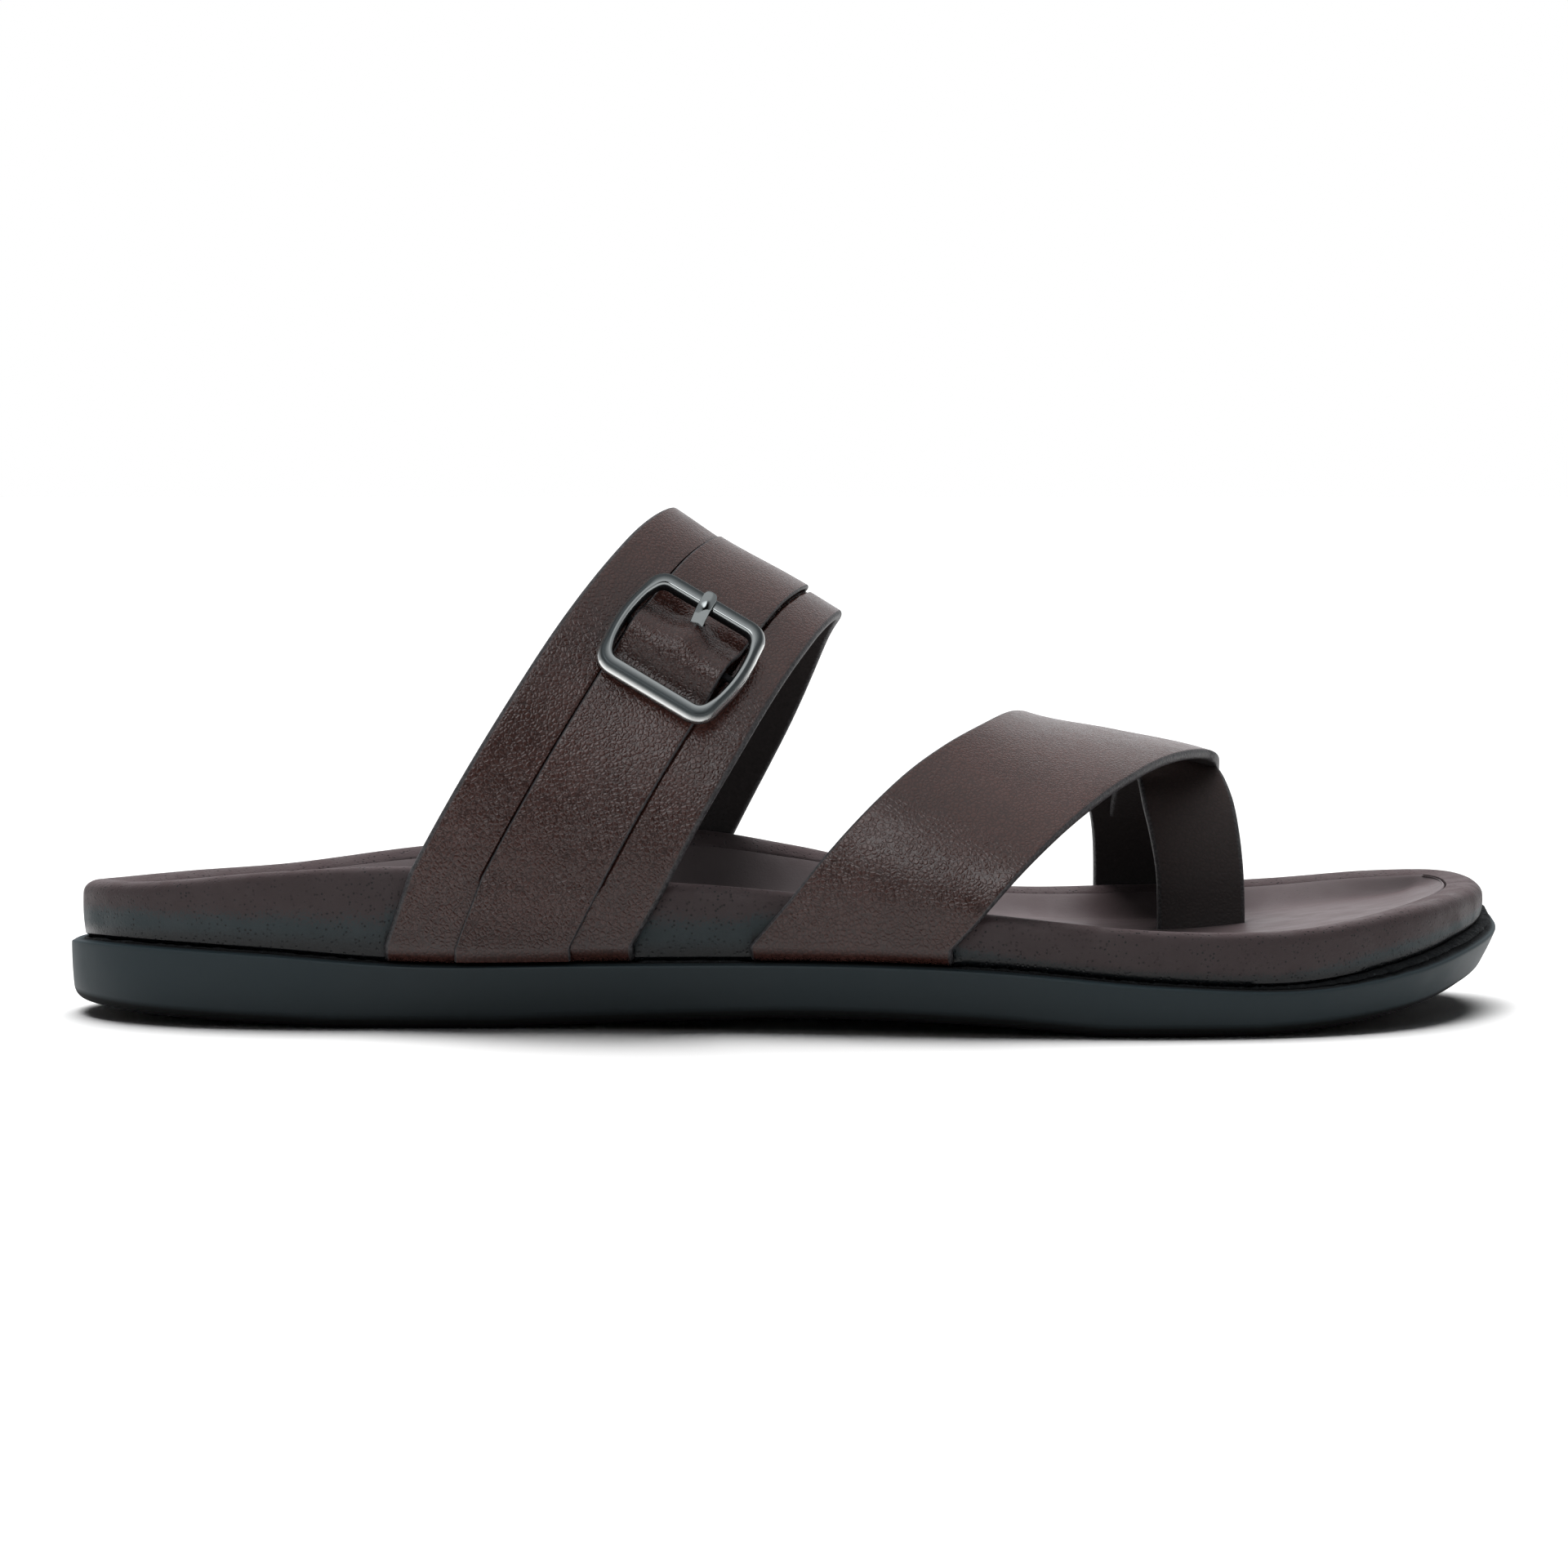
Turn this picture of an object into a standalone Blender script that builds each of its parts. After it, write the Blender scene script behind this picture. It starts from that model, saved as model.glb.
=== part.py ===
"""Toe ring sandal for the right foot, size about 42, in metres with +Z up.

+X points to the toe and +Y to the inner (medial) side.  The origin is the middle of the
sole's footprint, on the floor.  Lengths below are millimetres until they become vertices.
A station is the distance along the sole from the back of the heel.
"""
import math

import bmesh
import bpy
import numpy as np
from mathutils import Matrix, Vector

MM = 0.001

# ---- driving sizes ----------------------------------------------------------------------
SOLE_LENGTH = 290.4
FIT_GAP = 0.3             # air left between pieces that touch
SEAT_GAP = 0.5            # air under the insole
LEDGE_WIDTH = 3.2         # outsole ledge left showing outside the footbed
LEATHER = 2.2             # instep strap and forefoot strap
OVERLAY_LEATHER = 1.1     # narrow strap laid over the instep strap
OVERLAY_SEATS = (1.0, 0.5)           # step in the instep strap's face that the overlay lies in
INSOLE_THICKNESS = 1.4
INSOLE_INSET = 10.4       # edge of the insole, measured in from the outsole's edge
RIM_CREST_INSET = 5.6     # highest line of the footbed's rolled rim
RIM_SHOULDER_INSET = 7.6  # a ring just inside the crest
BED_INSET = 21.0          # where the rim's inner slope reaches the bed
RIM_ROUND_COLUMNS = ("step_in", "lean_share", "drop")
RIM_ROUND = (             # from the side up to the crest
    (0.0, 1.0, 2.6),
    (0.3, 0.8, 1.4),
    (1.0, 0.5, 0.4),
)
LASTING_MARGIN = 8.0      # strap end turned in under the footbed
TURN_RADIUS = 1.0         # inside radius of that turn
TURN_ANGLES = (0, 30, 60, 90)
OUTSOLE_ROUND = 3.4       # rounding of the outsole's lower edge
TOE_ROUND = 1.3           # and at the toe
OUTSOLE_EDGE_DROP = 0.5   # chamfer of its upper edge
OUTSOLE_EDGE_IN = 0.4
OUTSOLE_CORE_INSET = 12.0            # inside this its faces are plain
SIDE_TAPER = 0.5          # how far its side leans in from the top edge to the floor
TOE_TAPER = 3.0           # further lean at the toe
TOE_TAPER_RANGE = (240.0, 288.0)
LEDGE_RISE = 0.2          # rise of the ledge from its outer to its inner edge
TOE_LEDGE_RISE = 1.1      # further rise at the toe
TOE_LEDGE_RANGE = (235.0, 280.0)
FOOTBED_CHAMFER = 0.9     # lower outer edge of the footbed
SEAT_RING_INSET = 15.5    # a ring half way down the inner slope
HEEL_LEAN = 0.8           # outward lean of the footbed's side behind the heel
HEEL_LEAN_END = 60.0
TOE_LEAN = 0.5            # and at the toes
TOE_LEAN_RANGE = (255.0, 285.0)
TOE_TIGHTENING = 0.75     # inner rings lie this much closer together at the toes
TOE_TIGHTENING_RANGE = (245.0, 285.0)
POCKET_MARGIN = 0.8       # room in front of and behind a strap's turned-in end
POCKET_RAMP = 0.25
POCKET_BACK = (1.2, 0.8)  # end of that room under the footbed, at its bottom and its top

# One row for each section of the sole.  lateral and medial are the outsole's edge, ground
# is the underside, ledge the top of the outsole, rim the crest of the footbed, bed its floor.
SECTION_COLUMNS = ("station", "lateral", "medial", "ground_lateral", "ground_medial",
                   "ledge_lateral", "ledge_medial", "rim_lateral", "rim_medial", "bed")
SECTIONS = (
    (0, 0.0, 0.0, 2.6, 2.6, 14.2, 14.2, 26.4, 26.4, 22.5),
    (5, -16.5, 16.5, 2.4, 2.4, 15.2, 14.4, 27.1, 25.8, 21.5),
    (20, -29.0, 29.0, 1.5, 1.3, 15.2, 14.0, 28.2, 26.2, 20.6),
    (42, -35.5, 35.5, 0.6, 0.5, 14.3, 13.4, 30.4, 27.3, 20.3),
    (72, -37.0, 35.5, -0.4, -0.4, 12.3, 12.5, 31.6, 31.0, 20.5),
    (107, -37.8, 32.5, 0.9, 0.9, 12.6, 13.4, 29.3, 33.8, 20.8),
    (126, -39.5, 33.3, 1.7, 1.7, 12.9, 13.8, 28.4, 34.2, 20.4),
    (144, -42.0, 35.5, 2.4, 2.4, 13.1, 13.8, 27.1, 31.1, 19.6),
    (181, -49.0, 44.5, 1.8, 1.8, 12.6, 12.6, 23.5, 22.2, 16.8),
    (216, -53.0, 52.0, -0.5, -0.5, 9.9, 10.6, 20.4, 21.2, 15.2),
    (246, -48.5, 52.0, 0.6, 0.8, 8.8, 11.2, 20.2, 22.5, 17.0),
    (269, -33.5, 46.0, 3.4, 4.2, 11.2, 15.2, 22.7, 24.7, 19.6),
    (283, -12.5, 38.8, 6.4, 7.5, 14.2, 18.4, 24.2, 25.4, 21.8),
    (290.4, 20.0, 20.0, 9.0, 9.0, 16.6, 16.6, 24.7, 24.7, 23.2),
)

# The foot form that the straps are lasted over: height of its ridge and the ridge's offset
# towards the medial side.
FORM_COLUMNS = ("station", "ridge_height", "ridge_offset")
FORM = (
    (60, 131.5, 4.0),
    (90, 117.5, 5.0),
    (121, 99.6, 6.0),
    (131, 92.8, 6.3),
    (144, 85.2, 6.6),
    (156, 77.8, 7.0),
    (175, 66.2, 8.0),
    (192, 58.1, 9.5),
    (211, 54.0, 12.0),
    (230, 49.8, 15.0),
    (248, 43.0, 18.0),
)

FORM_LEAN = 1.2           # 1 makes each half section a quarter ellipse, more leans it inwards

# Stations of each strap's edges at angles around the form: 0 is the lateral side at the
# rim, 90 the ridge, 180 the medial side at the rim.  The root rows are where it turns in.
STRAP_COLUMNS = ("angle", "rear", "front")
INSTEP_EDGES = (
    (0, 70.5, 121.0),
    (30, 95.2, 138.2),
    (60, 113.1, 150.5),
    (90, 121.6, 156.2),
    (120, 116.5, 153.3),
    (150, 103.5, 146.0),
    (180, 84.0, 133.2),
)
INSTEP_ROOTS = ((65.6, 114.5), (76.5, 124.5))
FOREFOOT_EDGES = (
    (0, 145.2, 182.2),
    (30, 166.0, 199.0),
    (60, 183.0, 217.0),
    (90, 192.6, 232.0),
    (120, 201.0, 235.0),
    (150, 208.0, 236.4),
    (180, 209.4, 236.4),
)
FOREFOOT_ROOTS = ((137.2, 176.6), (209.4, 236.4))

# The overlay's edges as shares of the instep strap's width, at the same angles.
OVERLAY_COLUMNS = ("angle", "rear", "front")
OVERLAY_SHARES = (
    (0, 0.285, 0.750),
    (60, 0.280, 0.780),
    (90, 0.275, 0.800),
    (120, 0.280, 0.780),
    (180, 0.285, 0.750),
)

# The toe ring's free leg, from its root in the footbed up to where it meets the forefoot
# strap: side offset and height of the face next to the toe, and its two edges.
RING_COLUMNS = ("offset", "height", "rear", "front")
RING_LEG = (
    (13.6, 10.8, 220.6, 238.6),
    (13.6, 19.0, 220.6, 238.6),
    (13.8, 27.0, 220.3, 238.3),
    (14.8, 34.0, 219.1, 237.6),
    (17.6, 40.6, 217.6, 236.4),
    (21.8, 44.6, 217.0, 234.8),
)
RING_JOINED_COLUMNS = ("angle", "rear", "front", "sink")
RING_JOINED = (           # sink is how far its face lies inside the forefoot strap's face
    (112, 215.5, 233.4, 1.3),
    (126, 214.0, 232.4, 1.3),
    (140, 213.0, 231.4, 1.1),
    (152, 212.5, 230.8, 0.3),
)
RING_SLOT_CLEARANCE = 0.35
RING_SLOT_TOP = 30.0

# ---- buckle -----------------------------------------------------------------------------
BUCKLE_ANGLE = 39.3       # place around the form
BUCKLE_SHARE = 0.536      # place across the instep strap
BUCKLE_LIFT = 1.8         # underside above the instep strap's face
BUCKLE_ROLL = math.radians(-3.2)     # the front side stands a little off the strap
BUCKLE_PITCH = math.radians(-0.5)    # the upper bar lies a little closer to it
BUCKLE_TWIST = math.radians(-0.4)
FRAME_HALF_LENGTH = 11.3  # bar centre line, along the strap
FRAME_HALF_WIDTH = 13.35  # side centre line at its widest, across the strap
FRAME_BOW = 2.1           # how much the sides bow out
FRAME_CORNER = 2.5
FRAME_THICKNESS = 2.6
SIDE_BAR_WIDTH = 2.5
END_BAR_WIDTH = 3.5
OUTER_BEVEL = (           # profile of a bar: in from its edge, share of the thickness
    (0.2, 0.0), (0.0, 0.08), (0.0, 0.45), (0.75, 0.88), (1.2, 1.0),
)
INNER_ROUND = ((0.7, 1.0), (0.25, 0.86), (0.0, 0.62), (0.0, 0.08), (0.2, 0.0))
CENTRE_BAR_RADIUS = 0.7
CENTRE_BAR_SIDES = 12
CENTRE_BAR_HEIGHT = -0.25            # axis of the bar, from the frame's underside
PRONG_WIDTH = 2.9
PRONG_THICKNESS = 1.0
PRONG_GAP = 0.15
PRONG_PROFILE = (         # shares of its half width and of its thickness
    (-1, -0.5), (1, -0.5), (1, 0.1), (0.62, 0.5), (-0.62, 0.5), (-1, 0.1),
)
PRONG_TIP_TAPER = 0.82
PRONG_STEPS = 19
EYE_THICKNESS = 0.45
EYE_SIDES = 20
PRONG_LINE = (            # middle of the prong: along the strap, out of the frame's underside
    (0.9, 0.85), (2.4, -0.10), (4.2, -0.90), (5.8, -0.95), (6.9, -0.15),
    (7.7, 1.10), (8.5, 2.40), (9.4, 3.25), (10.6, 3.45), (12.7, 3.35),
)
PRONG_SKEW = -0.06        # sideways drift of the prong along its length
PRONG_SLIT = (5.0, 8.6)   # slit in the overlay that the prong comes up through
PRONG_SLIT_HEIGHT = 12.0
OVERLAY_RISE = 3.0        # rise of the overlay over the centre bar
OVERLAY_RISE_HALF = 7.6
PRONG_RISE = 1.9          # further rise over the prong
PRONG_RISE_HALF = 7.0
PRONG_RISE_SPREAD = 3.2
PRONG_RISE_PLACE = 5.0

SOLE_STEPS = 32
ARCH_ANGLES = np.linspace(0, 180, 27)
OVERLAY_ANGLES = np.concatenate([np.linspace(0, 24, 5), np.linspace(26, 52, 20),
                                 np.linspace(58, 180, 14)])
STRAP_WIDTH = 45.0        # about, across either broad strap
RING_WIDTH = 18.0
OVERLAY_WIDTH = 22.0
NOSE = 1.0                # how far the rounding of a strap's edge reaches in
EDGE_CHAMFER = 0.6
OVERLAY_NOSE = 0.4
OVERLAY_CHAMFER = 0.2
SEAT_WALL = (0.008, 0.022)           # the seat's step, as shares of the strap's width
REAR_BAND = 0.14          # a rib between the strap's rear edge and the seat
RING_STEPS = 26
CAP_COLUMNS = 4           # across the flat parts of outsole
THIN_CAP_COLUMNS = 3      # and of footbed and insole
LEAST_STATION_STEP = 2.5
SMOOTH_ANGLE = math.radians(38)


# ---- tables to smooth curves --------------------------------------------------------------
def smooth(x, knots, values):
    """Cubic curve through the knots, with slopes from the neighbouring knots."""
    knots = np.asarray(knots, float)
    values = np.asarray(values, float)
    x = np.asarray(x, float)
    step = np.diff(knots)
    rate = np.diff(values) / step
    slope = np.empty_like(values)
    slope[1:-1] = (step[1:] * rate[:-1] + step[:-1] * rate[1:]) / (step[1:] + step[:-1])
    slope[0] = 1.5 * rate[0] - 0.5 * slope[1]
    slope[-1] = 1.5 * rate[-1] - 0.5 * slope[-2]
    i = np.clip(np.searchsorted(knots, x) - 1, 0, len(knots) - 2)
    t = (x - knots[i]) / step[i]
    return (values[i] * (2 * t**3 - 3 * t**2 + 1) + step[i] * slope[i] * (t**3 - 2 * t**2 + t)
            + values[i + 1] * (3 * t**2 - 2 * t**3) + step[i] * slope[i + 1] * (t**3 - t**2))


def column(table, columns, name):
    return np.array([row[columns.index(name)] for row in table], float)


def turn(station):
    """Angle that runs 0 to pi along the sole, so that the round ends stay smooth."""
    share = np.clip(np.asarray(station, float) / SOLE_LENGTH, 0, 1)
    return np.arccos(1 - 2 * share)


def section(name, station):
    knots = turn(column(SECTIONS, SECTION_COLUMNS, "station"))
    return smooth(turn(station), knots, column(SECTIONS, SECTION_COLUMNS, name))


def form(name, station):
    return smooth(station, column(FORM, FORM_COLUMNS, "station"), column(FORM, FORM_COLUMNS, name))


def side_name(prefix, medial):
    return prefix + ("medial" if medial else "lateral")


def ease(share):
    share = np.clip(share, 0, 1)
    return share * share * (3 - 2 * share)


def ramp(x, start, end):
    """0 before start, 1 after end and a soft step between."""
    return ease((np.asarray(x, float) - start) / (end - start))


# ---- plan of the sole -----------------------------------------------------------------------
def edge_point(station, medial, inset):
    """Point on the outsole's edge line, moved in square to it.  Works on arrays."""
    angle = turn(station)
    small = 1e-4
    before = np.clip(angle - small, 0, math.pi)
    after = np.clip(angle + small, 0, math.pi)
    knots = turn(column(SECTIONS, SECTION_COLUMNS, "station"))
    offsets = column(SECTIONS, SECTION_COLUMNS, side_name("", medial))
    along = SOLE_LENGTH / 2 * (np.cos(before) - np.cos(after))
    across = smooth(after, knots, offsets) - smooth(before, knots, offsets)
    length = np.hypot(along, across)
    outward = (1 if medial else -1) * np.stack([-across, along], -1) / length[..., None]
    point = np.stack([SOLE_LENGTH / 2 * (1 - np.cos(angle)), smooth(angle, knots, offsets)], -1)
    return point - outward * np.asarray(inset, float)[..., None]


DENSE = np.linspace(0.5, SOLE_LENGTH - 0.5, 400)


def wall_offset(station, medial, inset):
    """Side offset, at a station, of the line that lies inset from the outsole's edge."""
    line = edge_point(DENSE, medial, np.full_like(DENSE, inset))
    return np.interp(station, line[:, 0], line[:, 1])


WIDTH_SHIFT = -0.5 * (edge_point(DENSE, False, np.zeros_like(DENSE))[:, 1].min()
                      + edge_point(DENSE, True, np.zeros_like(DENSE))[:, 1].max())


def place(points):
    """Millimetres in station, offset and height to metres about the origin."""
    points = np.asarray(points, float)
    return (points + np.array([-SOLE_LENGTH / 2, WIDTH_SHIFT, 0.0])) * MM


# ---- heights ------------------------------------------------------------------------------
def ledge_rise(station):
    """The outsole's top slopes up inwards at the toe, where the footbed sits on a crown."""
    return LEDGE_RISE + TOE_LEDGE_RISE * ramp(station, *TOE_LEDGE_RANGE)


def ground_height(station, medial):
    return np.maximum(section(side_name("ground_", medial), station), 0.0)


def outsole_top(station, medial, inset):
    rise = ledge_rise(station) * ease(np.asarray(inset, float) / LEDGE_WIDTH)
    return section(side_name("ledge_", medial), station) + rise


def footbed_top(station, medial, inset):
    """Rolled rim, inner slope and bed."""
    rim = section(side_name("rim_", medial), station)
    bed = section("bed", station)
    return rim + (bed - rim) * ramp(inset, RIM_CREST_INSET, BED_INSET)


# ---- rings and caps into closed solids --------------------------------------------------------
def sole_stations(marks=()):
    even = SOLE_LENGTH / 2 * (1 - np.cos(np.linspace(0, math.pi, SOLE_STEPS + 1)))
    kept = [s for s in even if all(abs(s - mark) > LEAST_STATION_STEP for mark in marks)]
    return np.array(sorted(kept + list(marks)))


class Ring:
    """A closed row of points around the sole: lateral side heel to toe, then back."""

    def __init__(self, stations, inset, height):
        sides = []
        for medial in (False, True):
            inset_row = np.broadcast_to(inset(stations) if callable(inset) else inset, stations.shape)
            plan = edge_point(stations, medial, inset_row)
            sides.append(np.column_stack([plan, height(stations, medial, inset_row)]))
        tip_heel = (sides[0][0] + sides[1][0]) / 2
        tip_toe = (sides[0][-1] + sides[1][-1]) / 2
        for side in sides:
            side[0] = tip_heel
            side[-1] = tip_toe
        self.lateral, self.medial = sides

    def loop(self):
        return np.vstack([self.lateral, self.medial[-2:0:-1]])


def solid_from_rings(name, rings, cap_columns):
    """Skin the rings from the first (under) to the last (upper) and close both with caps."""
    bm = bmesh.new()
    rows = [[bm.verts.new(p) for p in place(ring.loop())] for ring in rings]
    count = len(rows[0])
    for low, high in zip(rows, rows[1:]):
        for i in range(count):
            j = (i + 1) % count
            bm.faces.new((low[i], low[j], high[j], high[i]))
    cap(bm, rings[0], rows[0], cap_columns, True)
    cap(bm, rings[-1], rows[-1], cap_columns, False)
    bmesh.ops.recalc_face_normals(bm, faces=bm.faces)
    return new_object(name, bm)


def cap(bm, ring, row, columns, flip):
    """Rows of points across the sole, between the two sides of a ring."""
    steps = len(ring.lateral) - 1
    grid = [[row[0]] * (columns + 1)]
    for i in range(1, steps):
        left = ring.lateral[i]
        right = ring.medial[i]
        line = [row[i]]
        for k in range(1, columns):
            line.append(bm.verts.new(place(left + (right - left) * k / columns)))
        line.append(row[len(row) - i])
        grid.append(line)
    grid.append([row[steps]] * (columns + 1))
    for i in range(steps):
        for k in range(columns):
            corners = [grid[i][k], grid[i][k + 1], grid[i + 1][k + 1], grid[i + 1][k]]
            unique = []
            for vertex in corners:
                if vertex not in unique:
                    unique.append(vertex)
            if flip:
                unique.reverse()
            bm.faces.new(unique)


# ---- objects and materials ----------------------------------------------------------------------
def make_material(name, color, roughness, metallic=0.0):
    material = bpy.data.materials.new(name)
    material.use_nodes = True
    shader = material.node_tree.nodes["Principled BSDF"]
    shader.inputs["Base Color"].default_value = (*color, 1.0)
    shader.inputs["Roughness"].default_value = roughness
    shader.inputs["Metallic"].default_value = metallic
    material.diffuse_color = (*color, 1.0)
    return material


def new_object(name, bm):
    mesh = bpy.data.meshes.new(name)
    bmesh.ops.triangulate(bm, faces=bm.faces)
    bm.to_mesh(mesh)
    bm.free()
    mesh.shade_smooth()
    mesh.set_sharp_from_angle(angle=SMOOTH_ANGLE)
    obj = bpy.data.objects.new(name, mesh)
    bpy.context.scene.collection.objects.link(obj)
    return obj


def apply_boolean(obj, cutter, operation):
    """Cut or join with the exact solver, then drop the tool object."""
    modifier = obj.modifiers.new(operation.lower(), "BOOLEAN")
    modifier.operation = operation
    modifier.object = cutter
    modifier.solver = "EXACT"
    depsgraph = bpy.context.evaluated_depsgraph_get()
    mesh = bpy.data.meshes.new_from_object(obj.evaluated_get(depsgraph))
    obj.modifiers.clear()
    obj.data = mesh
    mesh.shade_smooth()
    mesh.set_sharp_from_angle(angle=SMOOTH_ANGLE)
    bpy.data.objects.remove(cutter, do_unlink=True)


def box(name, size, matrix):
    bm = bmesh.new()
    bmesh.ops.create_cube(bm, size=1.0)
    bmesh.ops.scale(bm, vec=Vector(size), verts=bm.verts)
    bmesh.ops.transform(bm, matrix=matrix, verts=bm.verts)
    return new_object(name, bm)


# ---- outsole --------------------------------------------------------------------------------
def side_taper(station):
    """How far the outsole's side leans in from its top edge to the floor."""
    return SIDE_TAPER + TOE_TAPER * ramp(station, *TOE_TAPER_RANGE)


def edge_round(station):
    return OUTSOLE_ROUND + (TOE_ROUND - OUTSOLE_ROUND) * ramp(station, *TOE_TAPER_RANGE)


def build_outsole():
    stations = sole_stations()

    def bottom_ring(share):
        """Along the rounding, from the flat underside up to the leaning side."""
        def up(s, medial):
            high = outsole_top(s, medial, 0.0) - OUTSOLE_EDGE_DROP
            return edge_round(s) / (high - ground_height(s, medial)) * share ** 2

        def inset(s):
            return side_taper(s) * (1 - up(s, False)) + edge_round(s) * (1 - share) ** 2

        def height(s, medial, q):
            return ground_height(s, medial) + edge_round(s) * share ** 2
        return Ring(stations, inset, height)

    def top_ring(inset, drop=0.0):
        return Ring(stations, inset, lambda s, medial, q: outsole_top(s, medial, q) - drop)

    under = Ring(stations, OUTSOLE_CORE_INSET, lambda s, medial, inset: ground_height(s, medial))
    for side, medial in ((under.lateral, False), (under.medial, True)):
        side[:, 2] = ground_height(side[:, 0], medial)
    rings = [under]
    rings += [bottom_ring(share) for share in (0.0, 0.35, 0.7, 1.0)]
    rings += [top_ring(0.0, OUTSOLE_EDGE_DROP), top_ring(OUTSOLE_EDGE_IN)]
    rings += [top_ring(LEDGE_WIDTH), top_ring(OUTSOLE_CORE_INSET)]
    return solid_from_rings("outsole", rings, CAP_COLUMNS)


# ---- footbed and insole ---------------------------------------------------------------------
def strap_pockets():
    """Stretches of each side where a strap turns in under the footbed."""
    pockets = {False: [], True: []}
    for roots in (INSTEP_ROOTS, FOREFOOT_ROOTS):
        for medial in (False, True):
            rear, front = roots[medial]
            pockets[medial].append((rear - POCKET_MARGIN, front + POCKET_MARGIN))
    return pockets


def pocket_height(stations, medial):
    """Headroom that the footbed's underside leaves for a strap, at each station."""
    headroom = np.zeros_like(stations)
    for rear, front in strap_pockets()[medial]:
        headroom[(stations > rear) & (stations < front)] = LEATHER + 2 * FIT_GAP
    return headroom


def footbed_stations():
    marks = []
    for pockets in strap_pockets().values():
        for rear, front in pockets:
            marks += [rear - POCKET_RAMP, rear + POCKET_RAMP, front - POCKET_RAMP, front + POCKET_RAMP]
    return sole_stations(sorted(marks))


def wall_lean(station):
    """The footbed's side leans out towards the top behind the heel and before the toes."""
    heel = HEEL_LEAN * (1 - ramp(station, 0.0, HEEL_LEAN_END))
    return heel + TOE_LEAN * ramp(station, *TOE_LEAN_RANGE)


def drawn_in(inset):
    """Inset of an inner ring: tighter at the toes, where a wide one would fold over itself."""
    excess = max(inset - INSOLE_INSET, 0.0)
    return lambda station: inset - excess * TOE_TIGHTENING * ramp(station, *TOE_TIGHTENING_RANGE)


def build_footbed():
    stations = footbed_stations()
    depth = LEDGE_WIDTH + LASTING_MARGIN

    def under(inset, pocket, lift=0.0):
        def height(s, medial, q):
            room = pocket_height(s, medial) if pocket else 0.0
            return outsole_top(s, medial, q) + FIT_GAP + room + lift
        return Ring(stations, inset, height)

    def over(step_in, lean_share, drop):
        def inset(s):
            return LEDGE_WIDTH + step_in - lean_share * wall_lean(s)

        def height(s, medial, q):
            return section(side_name("rim_", medial), s) - drop
        return Ring(stations, inset, height)

    def slope(inset, sink=0.0):
        return Ring(stations, drawn_in(inset),
                    lambda s, medial, q: footbed_top(s, medial, inset) - sink)

    seat_inset = INSOLE_INSET - FIT_GAP
    seat_depth = INSOLE_THICKNESS + SEAT_GAP
    rings = [
        under(depth + POCKET_BACK[0], False, FIT_GAP),
        under(depth + POCKET_BACK[1], True),
        under(LEDGE_WIDTH + FOOTBED_CHAMFER, True),
        under(LEDGE_WIDTH, True, FOOTBED_CHAMFER),
        *[over(*row) for row in RIM_ROUND],
        slope(RIM_CREST_INSET),
        slope(RIM_SHOULDER_INSET),
        slope(seat_inset),
        slope(seat_inset, seat_depth),
        slope(SEAT_RING_INSET, seat_depth),
        slope(BED_INSET, seat_depth),
    ]
    return solid_from_rings("footbed", rings, THIN_CAP_COLUMNS)


def build_insole():
    stations = footbed_stations()

    def ring(inset, sink):
        return Ring(stations, drawn_in(inset),
                    lambda s, medial, q: footbed_top(s, medial, inset) - sink)

    insets = (INSOLE_INSET, SEAT_RING_INSET, BED_INSET)
    rings = [ring(inset, INSOLE_THICKNESS) for inset in reversed(insets)]
    rings += [ring(inset, 0.0) for inset in insets]
    return solid_from_rings("insole", rings, THIN_CAP_COLUMNS)


def cut_ring_slot(obj):
    """Slot that the toe ring's free leg goes down through."""
    offset, height, rear, front = RING_LEG[0]
    low = height - 2 * RING_SLOT_CLEARANCE
    size = np.array([front - rear + 2 * RING_SLOT_CLEARANCE,
                     LEATHER + 2 * RING_SLOT_CLEARANCE, RING_SLOT_TOP - low]) * MM
    centre = place(((rear + front) / 2, offset - LEATHER / 2, (low + RING_SLOT_TOP) / 2))
    cutter = box("ring_slot", size, Matrix.Translation(Vector(centre)))
    apply_boolean(obj, cutter, "DIFFERENCE")


# ---- straps -----------------------------------------------------------------------------------
def form_point(station, angle):
    """Point on the foot form at a station and an angle in degrees around it."""
    turn_by = np.radians(np.asarray(angle, float))
    medial = turn_by > math.pi / 2
    lateral_wall = wall_offset(station, False, LEDGE_WIDTH - FIT_GAP)
    medial_wall = wall_offset(station, True, LEDGE_WIDTH - FIT_GAP)
    wall = np.where(medial, medial_wall, lateral_wall)
    start = np.where(medial, section("rim_medial", station), section("rim_lateral", station)) - 1.0
    ridge = form("ridge_height", station)
    middle = form("ridge_offset", station)
    across = middle + (wall - middle) * np.abs(np.cos(turn_by)) ** FORM_LEAN
    return np.stack([station, across, start + (ridge - start) * np.sin(turn_by)], -1)


def form_normal(station, angle):
    """Unit vector square to the foot form, pointing out of it.  Works on arrays."""
    small = 0.5
    here = form_point(station, angle)
    ahead = form_point(station + small, angle) - here
    above = form_point(station, angle + small) - form_point(station, angle - small)
    normal = np.cross(ahead, above)
    return normal / np.linalg.norm(normal, axis=-1, keepdims=True)


def under_face(station, angle, depth):
    """Station on the form that lies under a point of a strap's outer face, depth below it."""
    return station - depth * form_normal(station, angle)[..., 0]


def strap_station(edges, share, angle):
    angles = column(edges, STRAP_COLUMNS, "angle")
    rear = smooth(angle, angles, column(edges, STRAP_COLUMNS, "rear"))
    front = smooth(angle, angles, column(edges, STRAP_COLUMNS, "front"))
    return rear + (front - rear) * share


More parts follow.
